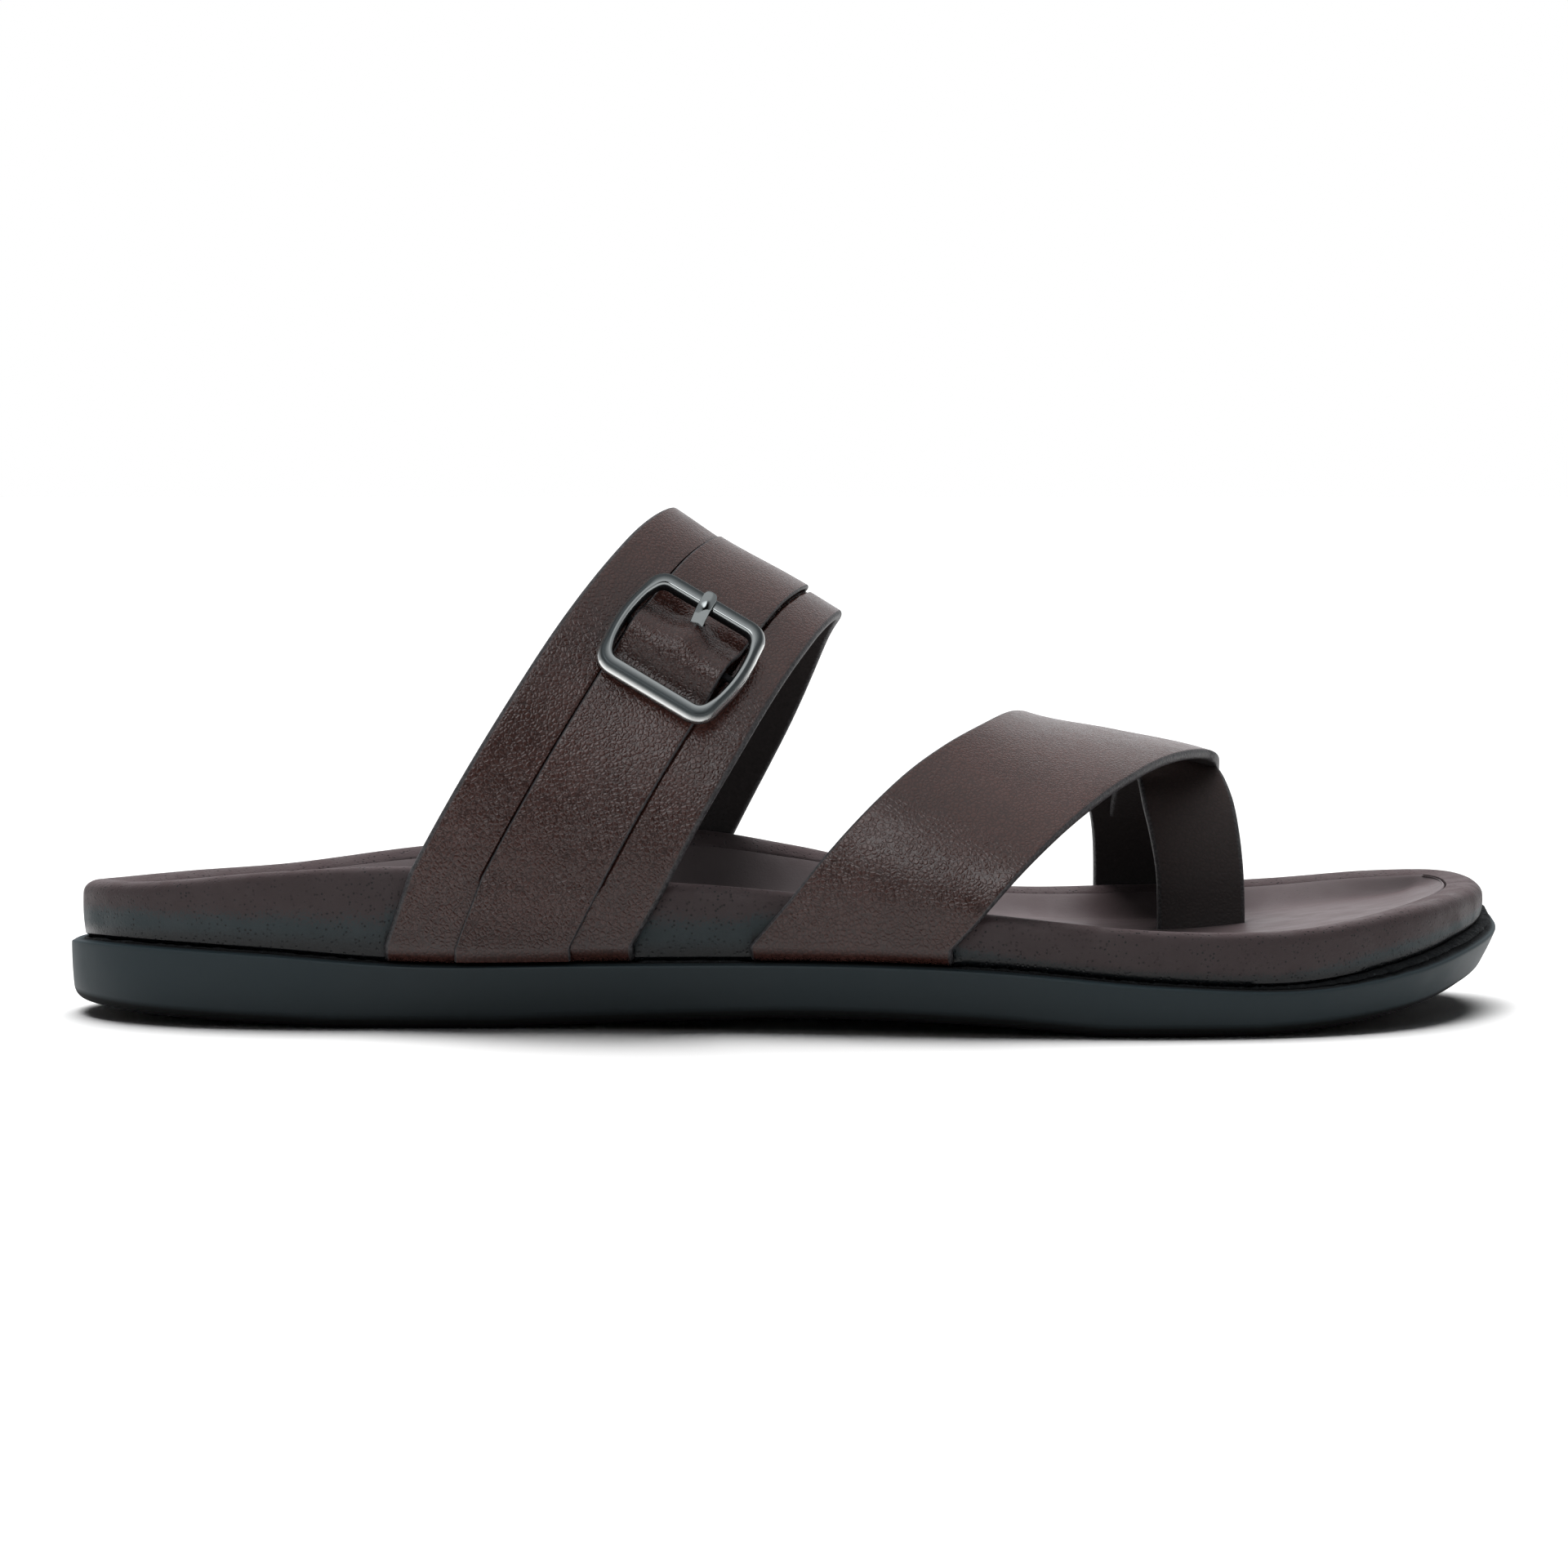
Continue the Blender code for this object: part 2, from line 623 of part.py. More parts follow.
def root_path(root_station, rim_point, medial, with_margin):
    """From the turned-in end out to the rim: the strap's face next to the footbed."""
    inset = LEDGE_WIDTH - FIT_GAP
    seat = float(outsole_top(root_station, medial, LEDGE_WIDTH)) + FIT_GAP + LEATHER
    path = []
    if with_margin:
        for back in (LASTING_MARGIN, LASTING_MARGIN / 2):
            path.append((root_station, inset + back, seat))
        for angle in TURN_ANGLES:
            turn_by = math.radians(angle)
            path.append((root_station, inset + TURN_RADIUS * (1 - math.sin(turn_by)),
                         seat + TURN_RADIUS * (1 - math.cos(turn_by))))
    else:
        path.append((root_station, inset, seat - LEATHER))
    points = []
    for station, step_in, height in path:
        plan = edge_point(np.array(station), medial, np.array(step_in))
        points.append((plan[0], plan[1], height))
    foot = np.array(points[-1])
    for share in (0.35, 0.7):
        point = foot + (rim_point - foot) * share
        point[1] = wall_offset(point[0], medial, inset)
        points.append(tuple(point))
    return points


def strap_rib(edges, roots, share, root_shares, angles, depth=LEATHER, with_margin=True):
    """One line along a strap, from its lateral end over the ridge to its medial end.

    share is a function of the angle: the rib's place across the strap.  The edges in the
    tables are those of the outer face, which lies depth away from this line.
    """
    stations = under_face(strap_station(edges, share(angles), angles), angles, depth)
    arch = form_point(stations, angles)
    ends = []
    for medial in (False, True):
        rear, front = roots[medial]
        root_station = rear + (front - rear) * root_shares
        rim_point = arch[-1] if medial else arch[0]
        ends.append(root_path(root_station, rim_point, medial, with_margin))
    return np.array(ends[0] + [tuple(p) for p in arch] + ends[1][::-1])


def offset_grid(grid, distance):
    """Move a grid of points along its own normals."""
    along = np.gradient(grid, axis=1)
    across = np.gradient(grid, axis=0)
    normal = np.cross(across, along)
    normal /= np.linalg.norm(normal, axis=-1, keepdims=True)
    return grid + normal * np.asarray(distance)[..., None]


def strip_solid(name, inner, outer):
    """Close two matching grids of points into one solid."""
    bm = bmesh.new()
    ribs, steps = inner.shape[:2]
    low = [[bm.verts.new(p) for p in place(rib)] for rib in inner]
    high = [[bm.verts.new(p) for p in place(rib)] for rib in outer]
    for i in range(ribs - 1):
        for k in range(steps - 1):
            bm.faces.new((low[i][k], low[i][k + 1], low[i + 1][k + 1], low[i + 1][k]))
            bm.faces.new((high[i][k], high[i + 1][k], high[i + 1][k + 1], high[i][k + 1]))
    for k in range(steps - 1):
        bm.faces.new((low[0][k], high[0][k], high[0][k + 1], low[0][k + 1]))
        bm.faces.new((low[-1][k], low[-1][k + 1], high[-1][k + 1], high[-1][k]))
    for i in range(ribs - 1):
        bm.faces.new((low[i][0], low[i + 1][0], high[i + 1][0], high[i][0]))
        bm.faces.new((low[i][-1], high[i][-1], high[i + 1][-1], low[i + 1][-1]))
    bmesh.ops.recalc_face_normals(bm, faces=bm.faces)
    return new_object(name, bm)


def edge_shares(width, edge, inner_count):
    """Shares across a strap, with a close pair at each edge for its small chamfer."""
    near = edge / width
    return np.concatenate([[0.0], np.linspace(near, 1 - near, inner_count), [1.0]])


def leather_strip(name, grid, thickness, chamfer=EDGE_CHAMFER):
    """Thicken a face grid outwards; the two outermost ribs get a chamfer."""
    base = np.zeros(grid.shape[:2])
    top = np.zeros(grid.shape[:2]) + thickness
    base[[0, -1]] = chamfer
    top[[0, -1]] -= chamfer
    return strip_solid(name, offset_grid(grid, base), offset_grid(grid, top))


def constant(value):
    return lambda angle: np.full_like(angle, value)


def build_strap(name, edges, roots, inner_ribs):
    ribs = [strap_rib(edges, roots, constant(v), v, ARCH_ANGLES)
            for v in edge_shares(STRAP_WIDTH, NOSE, inner_ribs)]
    return leather_strip(name, np.array(ribs), LEATHER)


# ---- toe ring -------------------------------------------------------------------------------------
def build_toe_ring():
    """Free leg up from the footbed, then along the inside of the forefoot strap."""
    rows = []
    for share in edge_shares(RING_WIDTH, NOSE, 3):
        points = []
        for offset, height, rear, front in RING_LEG:
            points.append((rear + (front - rear) * share, offset, height))
        for angle, rear, front, sink in RING_JOINED:
            station = rear + (front - rear) * share
            here = form_point(np.array(station), np.array(angle))
            near = form_point(np.array(station), np.array(angle + 1.0))
            step = near - here
            inward = np.array([0.0, step[2], -step[1]]) / math.hypot(step[1], step[2])
            points.append(tuple(here + inward * sink))
        points = np.array(points)
        length = np.concatenate([[0], np.cumsum(np.linalg.norm(np.diff(points, axis=0), axis=1))])
        even = np.linspace(0, length[-1], RING_STEPS + 1)
        rows.append(np.column_stack([smooth(even, length, points[:, k]) for k in range(3)]))
    return leather_strip("toe_ring", np.array(rows), LEATHER)


def build_forefoot_strap():
    strap = build_strap("forefoot_strap", FOREFOOT_EDGES, FOREFOOT_ROOTS, 6)
    apply_boolean(strap, build_toe_ring(), "UNION")
    return strap


# ---- overlay strap and buckle ---------------------------------------------------------------------
def instep_face(angle, share):
    """Point on the instep strap's outer face and the direction out of it."""
    angle = np.array(float(angle))
    station = under_face(strap_station(INSTEP_EDGES, share, angle), angle, LEATHER)
    normal = form_normal(station, angle)
    return form_point(station, angle) + normal * LEATHER, normal


def buckle_matrix():
    """Frame of the buckle: x across the strap, y up along it, z out, on its underside."""
    step = 8.0
    centre, out = instep_face(BUCKLE_ANGLE, BUCKLE_SHARE)
    above, _ = instep_face(BUCKLE_ANGLE + step, BUCKLE_SHARE)
    below, _ = instep_face(BUCKLE_ANGLE - step, BUCKLE_SHARE)
    along = above - below
    along /= np.linalg.norm(along)
    out = out - along * np.dot(out, along)
    out /= np.linalg.norm(out)
    across = np.cross(along, out)
    matrix = Matrix.Identity(4)
    for k in range(3):
        matrix[k][0] = across[k]
        matrix[k][1] = along[k]
        matrix[k][2] = out[k]
        matrix[k][3] = place(centre + out * BUCKLE_LIFT)[k]
    return (matrix @ Matrix.Rotation(BUCKLE_ROLL, 4, "Y") @ Matrix.Rotation(BUCKLE_PITCH, 4, "X")
            @ Matrix.Rotation(BUCKLE_TWIST, 4, "Z"))


def hump(y, place_y, half_length):
    return np.cos(math.pi / 2 * np.clip(np.abs(y - place_y) / half_length, 0, 1)) ** 2


def overlay_rise(points):
    """Extra height of the overlay where it passes over the centre bar and the prong."""
    inverse = np.array(buckle_matrix().inverted())
    local = (place(points) @ inverse[:3, :3].T + inverse[:3, 3]) / MM
    x, y, z = local[..., 0], local[..., 1], local[..., 2]
    near = np.abs(z) < FRAME_HALF_WIDTH
    rear_seat, front_seat = OVERLAY_SEATS
    deeper = (rear_seat - front_seat) * np.clip(0.5 - x / OVERLAY_WIDTH, 0, 1)
    bar = (OVERLAY_RISE + deeper - x * math.sin(BUCKLE_ROLL)) * hump(y, 0.0, OVERLAY_RISE_HALF)
    prong = PRONG_RISE * hump(y, PRONG_RISE_PLACE, PRONG_RISE_HALF)
    return near * (bar + prong * np.exp(-(x / PRONG_RISE_SPREAD) ** 2))


def overlay_share(name, shift=0.0):
    """Share across the instep strap of one of the overlay's edges, as a function of angle."""
    angles = column(OVERLAY_SHARES, OVERLAY_COLUMNS, "angle")
    shares = column(OVERLAY_SHARES, OVERLAY_COLUMNS, name)
    return lambda angle: smooth(angle, angles, shares) + shift


def build_instep_strap():
    """The broad strap over the instep, with a shallow seat for the overlay in its face."""
    close, wide = SEAT_WALL
    shares = [constant(0.0), constant(NOSE / STRAP_WIDTH), constant(REAR_BAND),
              overlay_share("rear", -wide), overlay_share("rear", -close),
              lambda angle: (overlay_share("rear")(angle) + overlay_share("front")(angle)) / 2,
              overlay_share("front", close), overlay_share("front", wide),
              constant(1 - NOSE / STRAP_WIDTH), constant(1.0)]
    rear_seat, front_seat = OVERLAY_SEATS
    seats = {4: rear_seat, 5: (rear_seat + front_seat) / 2, 6: front_seat}
    ribs = np.array([strap_rib(INSTEP_EDGES, INSTEP_ROOTS, share, float(share(np.array(0.0))),
                               ARCH_ANGLES) for share in shares])
    thickness = np.full(ribs.shape[:2], LEATHER)
    ends = len(root_path(INSTEP_ROOTS[0][0], ribs[0, 0], False, True))
    for i, seat in seats.items():
        thickness[i, ends:-ends] -= seat
    return leather_strip("instep_strap", ribs, thickness)


def build_overlay():
    rear = overlay_share("rear")
    front = overlay_share("front")
    shares = edge_shares(OVERLAY_WIDTH, OVERLAY_NOSE, 6)
    seat_depths = OVERLAY_SEATS[0] + (OVERLAY_SEATS[1] - OVERLAY_SEATS[0]) * shares
    ribs = []
    for v, seat_depth in zip(shares, seat_depths):
        def share(angle, v=v):
            return rear(angle) * (1 - v) + front(angle) * v
        ribs.append(strap_rib(INSTEP_EDGES, INSTEP_ROOTS, share, float(share(np.array(0.0))),
                              OVERLAY_ANGLES,
                              depth=LEATHER - seat_depth + FIT_GAP + OVERLAY_LEATHER,
                              with_margin=False))
    ribs = np.array(ribs)
    seat = np.full(ribs.shape[:2], LEATHER + FIT_GAP)
    ends = len(root_path(INSTEP_ROOTS[0][0], ribs[0, 0], False, False))
    seat[:, ends:-ends] -= seat_depths[:, None]
    grid = offset_grid(ribs, seat)
    for row in (0, -1):
        grid[:, row, 2] = ribs[:, row, 2]
    grid = offset_grid(grid, overlay_rise(grid))
    strap = leather_strip("buckle_strap", grid, OVERLAY_LEATHER, OVERLAY_CHAMFER)
    matrix = buckle_matrix()
    low, high = PRONG_SLIT
    middle = (low + high) / 2
    size = np.array([PRONG_WIDTH + 3 * FIT_GAP, high - low, PRONG_SLIT_HEIGHT]) * MM
    slit = box("prong_slit", size,
               matrix @ Matrix.Translation(Vector((PRONG_SKEW * middle, middle, 0)) * MM))
    apply_boolean(strap, slit, "DIFFERENCE")
    return strap


def frame_path():
    """Centre line of the buckle's frame: straight end bars, bowed sides, round corners."""
    side_end = FRAME_HALF_LENGTH - FRAME_CORNER
    bar_end = FRAME_HALF_WIDTH - FRAME_BOW - FRAME_CORNER
    quarter = []
    for y in np.linspace(0, side_end, 5):
        quarter.append((FRAME_HALF_WIDTH - FRAME_BOW * (y / FRAME_HALF_LENGTH) ** 2, y))
    start = np.array(quarter[-1])
    corner = np.array([FRAME_HALF_WIDTH - FRAME_BOW, FRAME_HALF_LENGTH])
    end = np.array([bar_end, FRAME_HALF_LENGTH])
    for t in np.linspace(0, 1, 6)[1:]:
        quarter.append(tuple(start * (1 - t) ** 2 + corner * 2 * t * (1 - t) + end * t * t))
    quarter.append((0.0, FRAME_HALF_LENGTH))
    half = quarter + [(-x, y) for x, y in quarter[-2::-1]]
    return np.array(half + [(x, -y) for x, y in half[-2:0:-1]])


def frame_section(width):
    """Profile of a bar: flat underside, bevelled outer edge and rounded inner edge."""
    half = width / 2
    outer = [(half - step_in, rise * FRAME_THICKNESS) for step_in, rise in OUTER_BEVEL]
    return outer + [(step_in - half, rise * FRAME_THICKNESS) for step_in, rise in INNER_ROUND]


def build_buckle_frame():
    bm = bmesh.new()
    path = frame_path()
    count = len(path)
    rows = []
    for i, (x, y) in enumerate(path):
        ahead = path[(i + 1) % count]
        behind = path[i - 1]
        tangent = (ahead - behind) / np.linalg.norm(ahead - behind)
        outward = np.array([tangent[1], -tangent[0]])
        ends = ease((abs(y) - 0.5 * FRAME_HALF_LENGTH) / (0.5 * FRAME_HALF_LENGTH))
        width = SIDE_BAR_WIDTH + (END_BAR_WIDTH - SIDE_BAR_WIDTH) * ends
        row = []
        for step_out, height in frame_section(width):
            row.append(bm.verts.new(Vector((x + outward[0] * step_out,
                                            y + outward[1] * step_out, height)) * MM))
        rows.append(row)
    for i in range(count):
        here = rows[i]
        there = rows[(i + 1) % count]
        for k in range(len(here)):
            j = (k + 1) % len(here)
            bm.faces.new((here[k], here[j], there[j], there[k]))
    bmesh.ops.recalc_face_normals(bm, faces=bm.faces)
    frame = new_object("buckle_frame", bm)
    bar_matrix = (Matrix.Translation((0, 0, CENTRE_BAR_HEIGHT * MM))
                  @ Matrix.Rotation(math.pi / 2, 4, "Y"))
    bm = bmesh.new()
    bmesh.ops.create_cone(bm, cap_ends=True, segments=CENTRE_BAR_SIDES,
                          radius1=CENTRE_BAR_RADIUS * MM, radius2=CENTRE_BAR_RADIUS * MM,
                          depth=2 * FRAME_HALF_WIDTH * MM, matrix=bar_matrix)
    apply_boolean(frame, new_object("centre_bar", bm), "UNION")
    frame.matrix_world = buckle_matrix()
    return frame


def build_prong():
    """Eye around the centre bar, shank up through the slit and over the far bar."""
    inner = CENTRE_BAR_RADIUS + PRONG_GAP
    outer = inner + EYE_THICKNESS
    half = PRONG_WIDTH / 2
    line = np.array(PRONG_LINE)
    length = np.concatenate([[0], np.cumsum(np.linalg.norm(np.diff(line, axis=0), axis=1))])
    even = np.linspace(0, length[-1], PRONG_STEPS)
    line = np.column_stack([smooth(even, length, line[:, k]) for k in (0, 1)])
    slope = np.gradient(line, axis=0)
    slope /= np.linalg.norm(slope, axis=1, keepdims=True)
    bm = bmesh.new()
    rows = []
    for i, (point, direction) in enumerate(zip(line, slope)):
        up = np.array([-direction[1], direction[0]])
        taper = 1.0 if i < len(line) - 1 else PRONG_TIP_TAPER
        row = []
        for x, rise in PRONG_PROFILE:
            y, z = point + up * rise * PRONG_THICKNESS * taper
            sideways = x * half * taper + PRONG_SKEW * y
            row.append(bm.verts.new(Vector((sideways, y, z)) * MM))
        rows.append(row)
    for here, there in zip(rows, rows[1:]):
        for k in range(len(PRONG_PROFILE)):
            j = (k + 1) % len(PRONG_PROFILE)
            bm.faces.new((here[k], here[j], there[j], there[k]))
    bm.faces.new(rows[0])
    bm.faces.new(rows[-1])
    bmesh.ops.recalc_face_normals(bm, faces=bm.faces)
    prong = new_object("buckle_prong", bm)
    bm = bmesh.new()
    tube = []
    for radius, x in ((inner, -half), (outer, -half), (outer, half), (inner, half)):
        row = []
        for k in range(EYE_SIDES):
            angle = 2 * math.pi * k / EYE_SIDES
            row.append(bm.verts.new(Vector((x, radius * math.cos(angle),
                                            CENTRE_BAR_HEIGHT + radius * math.sin(angle))) * MM))
        tube.append(row)
    for here, there in zip(tube, tube[1:] + tube[:1]):
        for k in range(EYE_SIDES):
            j = (k + 1) % EYE_SIDES
            bm.faces.new((here[k], here[j], there[j], there[k]))
    bmesh.ops.recalc_face_normals(bm, faces=bm.faces)
    apply_boolean(prong, new_object("prong_eye", bm), "UNION")
    prong.matrix_world = buckle_matrix()
    return prong


# ---- assembly ---------------------------------------------------------------------------------------
def main():
    for obj in list(bpy.data.objects):
        bpy.data.objects.remove(obj, do_unlink=True)

    rubber = make_material("outsole_rubber", (0.018, 0.024, 0.028), 0.62)
    foam = make_material("footbed_foam", (0.085, 0.052, 0.050), 0.80)
    lining = make_material("insole_sheet", (0.090, 0.055, 0.052), 0.78)
    leather = make_material("brown_leather", (0.060, 0.026, 0.022), 0.48)
    metal = make_material("dark_chrome", (0.36, 0.37, 0.38), 0.16, 1.0)

    outsole = build_outsole()
    footbed = build_footbed()
    insole = build_insole()
    cut_ring_slot(footbed)
    cut_ring_slot(insole)
    instep = build_instep_strap()
    forefoot = build_forefoot_strap()
    overlay = build_overlay()
    frame = build_buckle_frame()
    prong = build_prong()

    for obj, material in ((outsole, rubber), (footbed, foam), (insole, lining), (instep, leather),
                          (forefoot, leather), (overlay, leather), (frame, metal), (prong, metal)):
        obj.data.materials.clear()
        obj.data.materials.append(material)


main()
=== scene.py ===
"""Looks of the toe ring sandal: fine shapes, materials, light and camera around the CAD frame.

Lengths are millimetres until place() turns them into metres: a station is the distance along
the sole from the back of the heel, an offset is the distance towards the medial side, and a
height is above the floor.
"""
import math

import bpy
import numpy as np
from mathutils import Matrix, Vector


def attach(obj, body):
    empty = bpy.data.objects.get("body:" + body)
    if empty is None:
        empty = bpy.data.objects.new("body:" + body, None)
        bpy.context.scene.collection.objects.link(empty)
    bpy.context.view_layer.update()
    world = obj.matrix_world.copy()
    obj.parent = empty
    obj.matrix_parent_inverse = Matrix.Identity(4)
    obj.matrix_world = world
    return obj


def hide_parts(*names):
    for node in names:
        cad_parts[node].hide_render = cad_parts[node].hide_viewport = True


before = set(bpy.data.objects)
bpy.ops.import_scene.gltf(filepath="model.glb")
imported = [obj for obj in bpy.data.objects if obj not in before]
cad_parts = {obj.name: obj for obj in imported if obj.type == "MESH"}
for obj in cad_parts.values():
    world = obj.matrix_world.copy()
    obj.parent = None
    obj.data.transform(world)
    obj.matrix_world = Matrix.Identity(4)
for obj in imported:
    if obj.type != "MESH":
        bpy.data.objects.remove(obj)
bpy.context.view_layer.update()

MM = 0.001

# ---- sizes shared with the CAD source ----
SOLE_LENGTH = 290.4
FIT_GAP = 0.3
SEAT_GAP = 0.5
LEDGE_WIDTH = 3.2
LEATHER = 2.2
OVERLAY_LEATHER = 1.1
OVERLAY_SEATS = (1.0, 0.5)
INSOLE_THICKNESS = 1.4
INSOLE_INSET = 10.4
RIM_CREST_INSET = 5.6
BED_INSET = 21.0
LASTING_MARGIN = 8.0
TURN_RADIUS = 1.0
OUTSOLE_ROUND = 3.4
TOE_ROUND = 1.3
OUTSOLE_CORE_INSET = 12.0
SIDE_TAPER = 0.5
TOE_TAPER = 3.0
TOE_TAPER_RANGE = (240.0, 288.0)
LEDGE_RISE = 0.2
TOE_LEDGE_RISE = 1.1
TOE_LEDGE_RANGE = (235.0, 280.0)
HEEL_LEAN = 0.8
HEEL_LEAN_END = 60.0
TOE_LEAN = 0.5
TOE_LEAN_RANGE = (255.0, 285.0)
TOE_TIGHTENING = 0.75
TOE_TIGHTENING_RANGE = (245.0, 285.0)
POCKET_MARGIN = -0.1
POCKET_RAMP = 0.2

SECTION_COLUMNS = ("station", "lateral", "medial", "ground_lateral", "ground_medial",
                   "ledge_lateral", "ledge_medial", "rim_lateral", "rim_medial", "bed")
SECTIONS = (
    (0, 0.0, 0.0, 2.6, 2.6, 14.2, 14.2, 26.4, 26.4, 21.5),
    (5, -16.5, 16.5, 2.4, 2.4, 15.2, 14.4, 27.1, 25.8, 21.2),
    (20, -29.0, 29.0, 1.5, 1.3, 15.2, 14.0, 28.2, 26.2, 20.6),
    (42, -35.5, 35.5, 0.6, 0.5, 14.3, 13.4, 30.4, 27.3, 20.3),
    (72, -37.0, 35.5, -0.4, -0.4, 12.3, 12.5, 31.6, 31.0, 20.5),
    (107, -37.8, 32.5, 0.9, 0.9, 12.6, 13.4, 29.3, 33.8, 20.8),
    (126, -39.5, 33.3, 1.7, 1.7, 12.9, 13.8, 28.4, 34.2, 20.4),
    (144, -42.0, 35.5, 2.4, 2.4, 13.1, 13.8, 27.1, 31.1, 19.6),
    (181, -49.0, 44.5, 1.8, 1.8, 12.6, 12.6, 23.5, 22.2, 16.8),
    (216, -53.0, 52.0, -0.5, -0.5, 9.9, 10.6, 20.4, 21.2, 15.2),
    (246, -48.5, 52.0, 0.6, 0.8, 8.8, 11.2, 20.2, 22.5, 17.0),
    (269, -33.5, 46.0, 3.4, 4.2, 11.2, 15.2, 22.7, 24.7, 19.6),
    (283, -12.5, 38.8, 6.4, 7.5, 14.2, 18.4, 24.2, 25.4, 21.8),
    (290.4, 20.0, 20.0, 9.0, 9.0, 16.6, 16.6, 24.7, 24.7, 23.2),
)
FORM_COLUMNS = ("station", "ridge_height", "ridge_offset")
FORM = (
    (60, 131.5, 4.0), (90, 117.5, 5.0), (121, 99.6, 6.0), (131, 92.8, 6.3), (144, 85.2, 6.6),
    (156, 77.8, 7.0), (175, 66.2, 8.0), (192, 58.1, 9.5), (211, 54.0, 12.0), (230, 49.8, 15.0),
    (248, 43.0, 18.0),
)
FORM_LEAN = 1.2
FORM_DROP = 1.0
STRAP_COLUMNS = ("angle", "rear", "front")
INSTEP_EDGES = (
    (0, 70.5, 121.0), (30, 95.2, 138.2), (60, 113.1, 150.5), (90, 121.6, 156.2),
    (120, 116.5, 153.3), (150, 103.5, 146.0), (180, 84.0, 133.2),
)
INSTEP_ROOTS = ((65.6, 114.5), (76.5, 124.5))
FOREFOOT_EDGES = (
    (0, 145.2, 182.2), (30, 166.0, 199.0), (60, 183.0, 217.0), (90, 192.6, 232.0),
    (120, 201.0, 235.0), (150, 208.0, 236.4), (180, 209.4, 236.4),
)
FOREFOOT_ROOTS = ((137.2, 176.6), (209.4, 236.4))
OVERLAY_SHARES = (
    (0, 0.285, 0.750), (60, 0.280, 0.780), (90, 0.275, 0.800), (120, 0.280, 0.780),
    (180, 0.285, 0.750),
)
RING_LEG = (
    (13.6, 10.8, 220.6, 238.6), (13.6, 19.0, 220.6, 238.6), (13.8, 27.0, 220.3, 238.3),
    (14.8, 34.0, 219.1, 237.6), (17.6, 40.6, 217.6, 236.4), (21.8, 44.6, 217.0, 234.8),
)
RING_JOINED = (
    (112, 215.5, 233.4, 1.3), (126, 214.0, 232.4, 1.3), (140, 213.0, 231.4, 1.1),
    (152, 212.5, 230.8, 0.3),
)

BUCKLE_ANGLE = 39.3
BUCKLE_SHARE = 0.536
BUCKLE_LIFT = 1.8
BUCKLE_ROLL = math.radians(-3.2)
BUCKLE_PITCH = math.radians(-0.5)
BUCKLE_TWIST = math.radians(-0.4)
FRAME_HALF_LENGTH = 11.3
FRAME_HALF_WIDTH = 13.35
FRAME_BOW = 2.1
FRAME_CORNER = 2.5
FRAME_THICKNESS = 2.6
SIDE_BAR_WIDTH = 2.5
END_BAR_WIDTH = 3.5
CENTRE_BAR_RADIUS = 0.7
CENTRE_BAR_HEIGHT = -0.25
PRONG_WIDTH = 2.9
PRONG_THICKNESS = 1.0
PRONG_GAP = 0.15
EYE_THICKNESS = 0.45
PRONG_LINE = (
    (0.9, 0.85), (2.4, -0.10), (4.0, -0.90), (5.0, -0.70), (5.9, 0.10),
    (6.9, 1.20), (7.9, 2.25), (9.0, 3.05), (10.3, 3.45), (12.7, 3.35),
)
PRONG_SKEW = -0.06
PRONG_SLIT = (5.0, 8.6)
OVERLAY_RISE = 3.0
OVERLAY_RISE_HALF = 7.6
PRONG_RISE = 1.9
PRONG_RISE_HALF = 7.0
PRONG_RISE_SPREAD = 3.2
PRONG_RISE_PLACE = 5.0
BOTH_SIDES = (False, True)  # lateral, then medial

# ---- fineness and small forms of the dressed model ----
SOLE_STEPS = 230
ANGLE_STEP = 1.15  # degrees between two points along a strap
STRAP_WIDTH = 45.0
RING_WIDTH = 18.0
OVERLAY_WIDTH = 22.0
EDGE_ROUND = 1.0  # how far in a strap's rounded edge reaches
OVERLAY_ROUND = 0.45
SEAT_EDGES = ((0.262, 0.298), (0.738, 0.812))  # shares of the strap's width where it steps down
SEAT_SPACING = 0.007  # between two ribs there, as a share too
SEAT_WALL = (-0.009, 0.001)
STRAP_SPACING = 1.1  # between two ribs of a broad strap
WEAR_DEPTH = 0.12  # of the slow waves in the forefoot strap's face,
WEAR_LENGTH = 38.0  # and how long they are
OVERLAY_SPACING = 0.75
BUCKLE_STRETCH = (24, 56)  # angles between which the overlay has finer steps
FINE_ANGLE_STEP = 0.45
OVERLAY_END_SEAT = (0.2, 0.9)  # share of its seat that the overlay keeps over its turned-in end
BUCKLE_REACH = 8.0  # out of the buckle's plane, where the slit in the overlay is looked for
RING_STEPS = 80
PRONG_STEPS = 60
PRONG_TIP = 0.55  # thickness of the prong's end as a share,
PRONG_TIP_LENGTH = 1.2  # and where it starts to thin
CORE_INSET = 6.0
TOP_EDGE_ROUND = 0.45  # round on the outsole's upper edge
TOP_EDGE_DROP = 0.5  # how far under that edge the outsole's side ends
CHAMFER = 0.9  # between the footbed's side and its underside
RIM_ROUND = 2.6  # height over which the footbed's rim turns into its side
RIM_RISE = 0.85  # share of the footbed's height, for its colour, where the rim starts
SIDE_BULGE = 0.1
FOAM_BULGE = 0.2
SEAT_CORE_INSET = 15.5
SEAM_GAP = 0.05  # between the insole sheet and the footbed
DIP_DEPTH = 0.35  # of the sheet around the toe ring's leg,
DIP_REACH = 1.4  # how far out the dip goes
SLOT_REACH = 0.7  # and how far out the sheet is painted dark with shade round the slot
SHEET_ROUND = 0.12  # round on the sheet's edge,
OPEN_ROUND = 0.4  # and what the open seam at the toe's tip adds to it
GLUE_SIZE = 0.42  # radius of the bead of glue,
GLUE_TOE_SIZE = 0.85  # what it gains towards the toe,
GLUE_TOE_RANGE = (225.0, 265.0)
GLUE_WOBBLE = 0.22  # and how much it varies
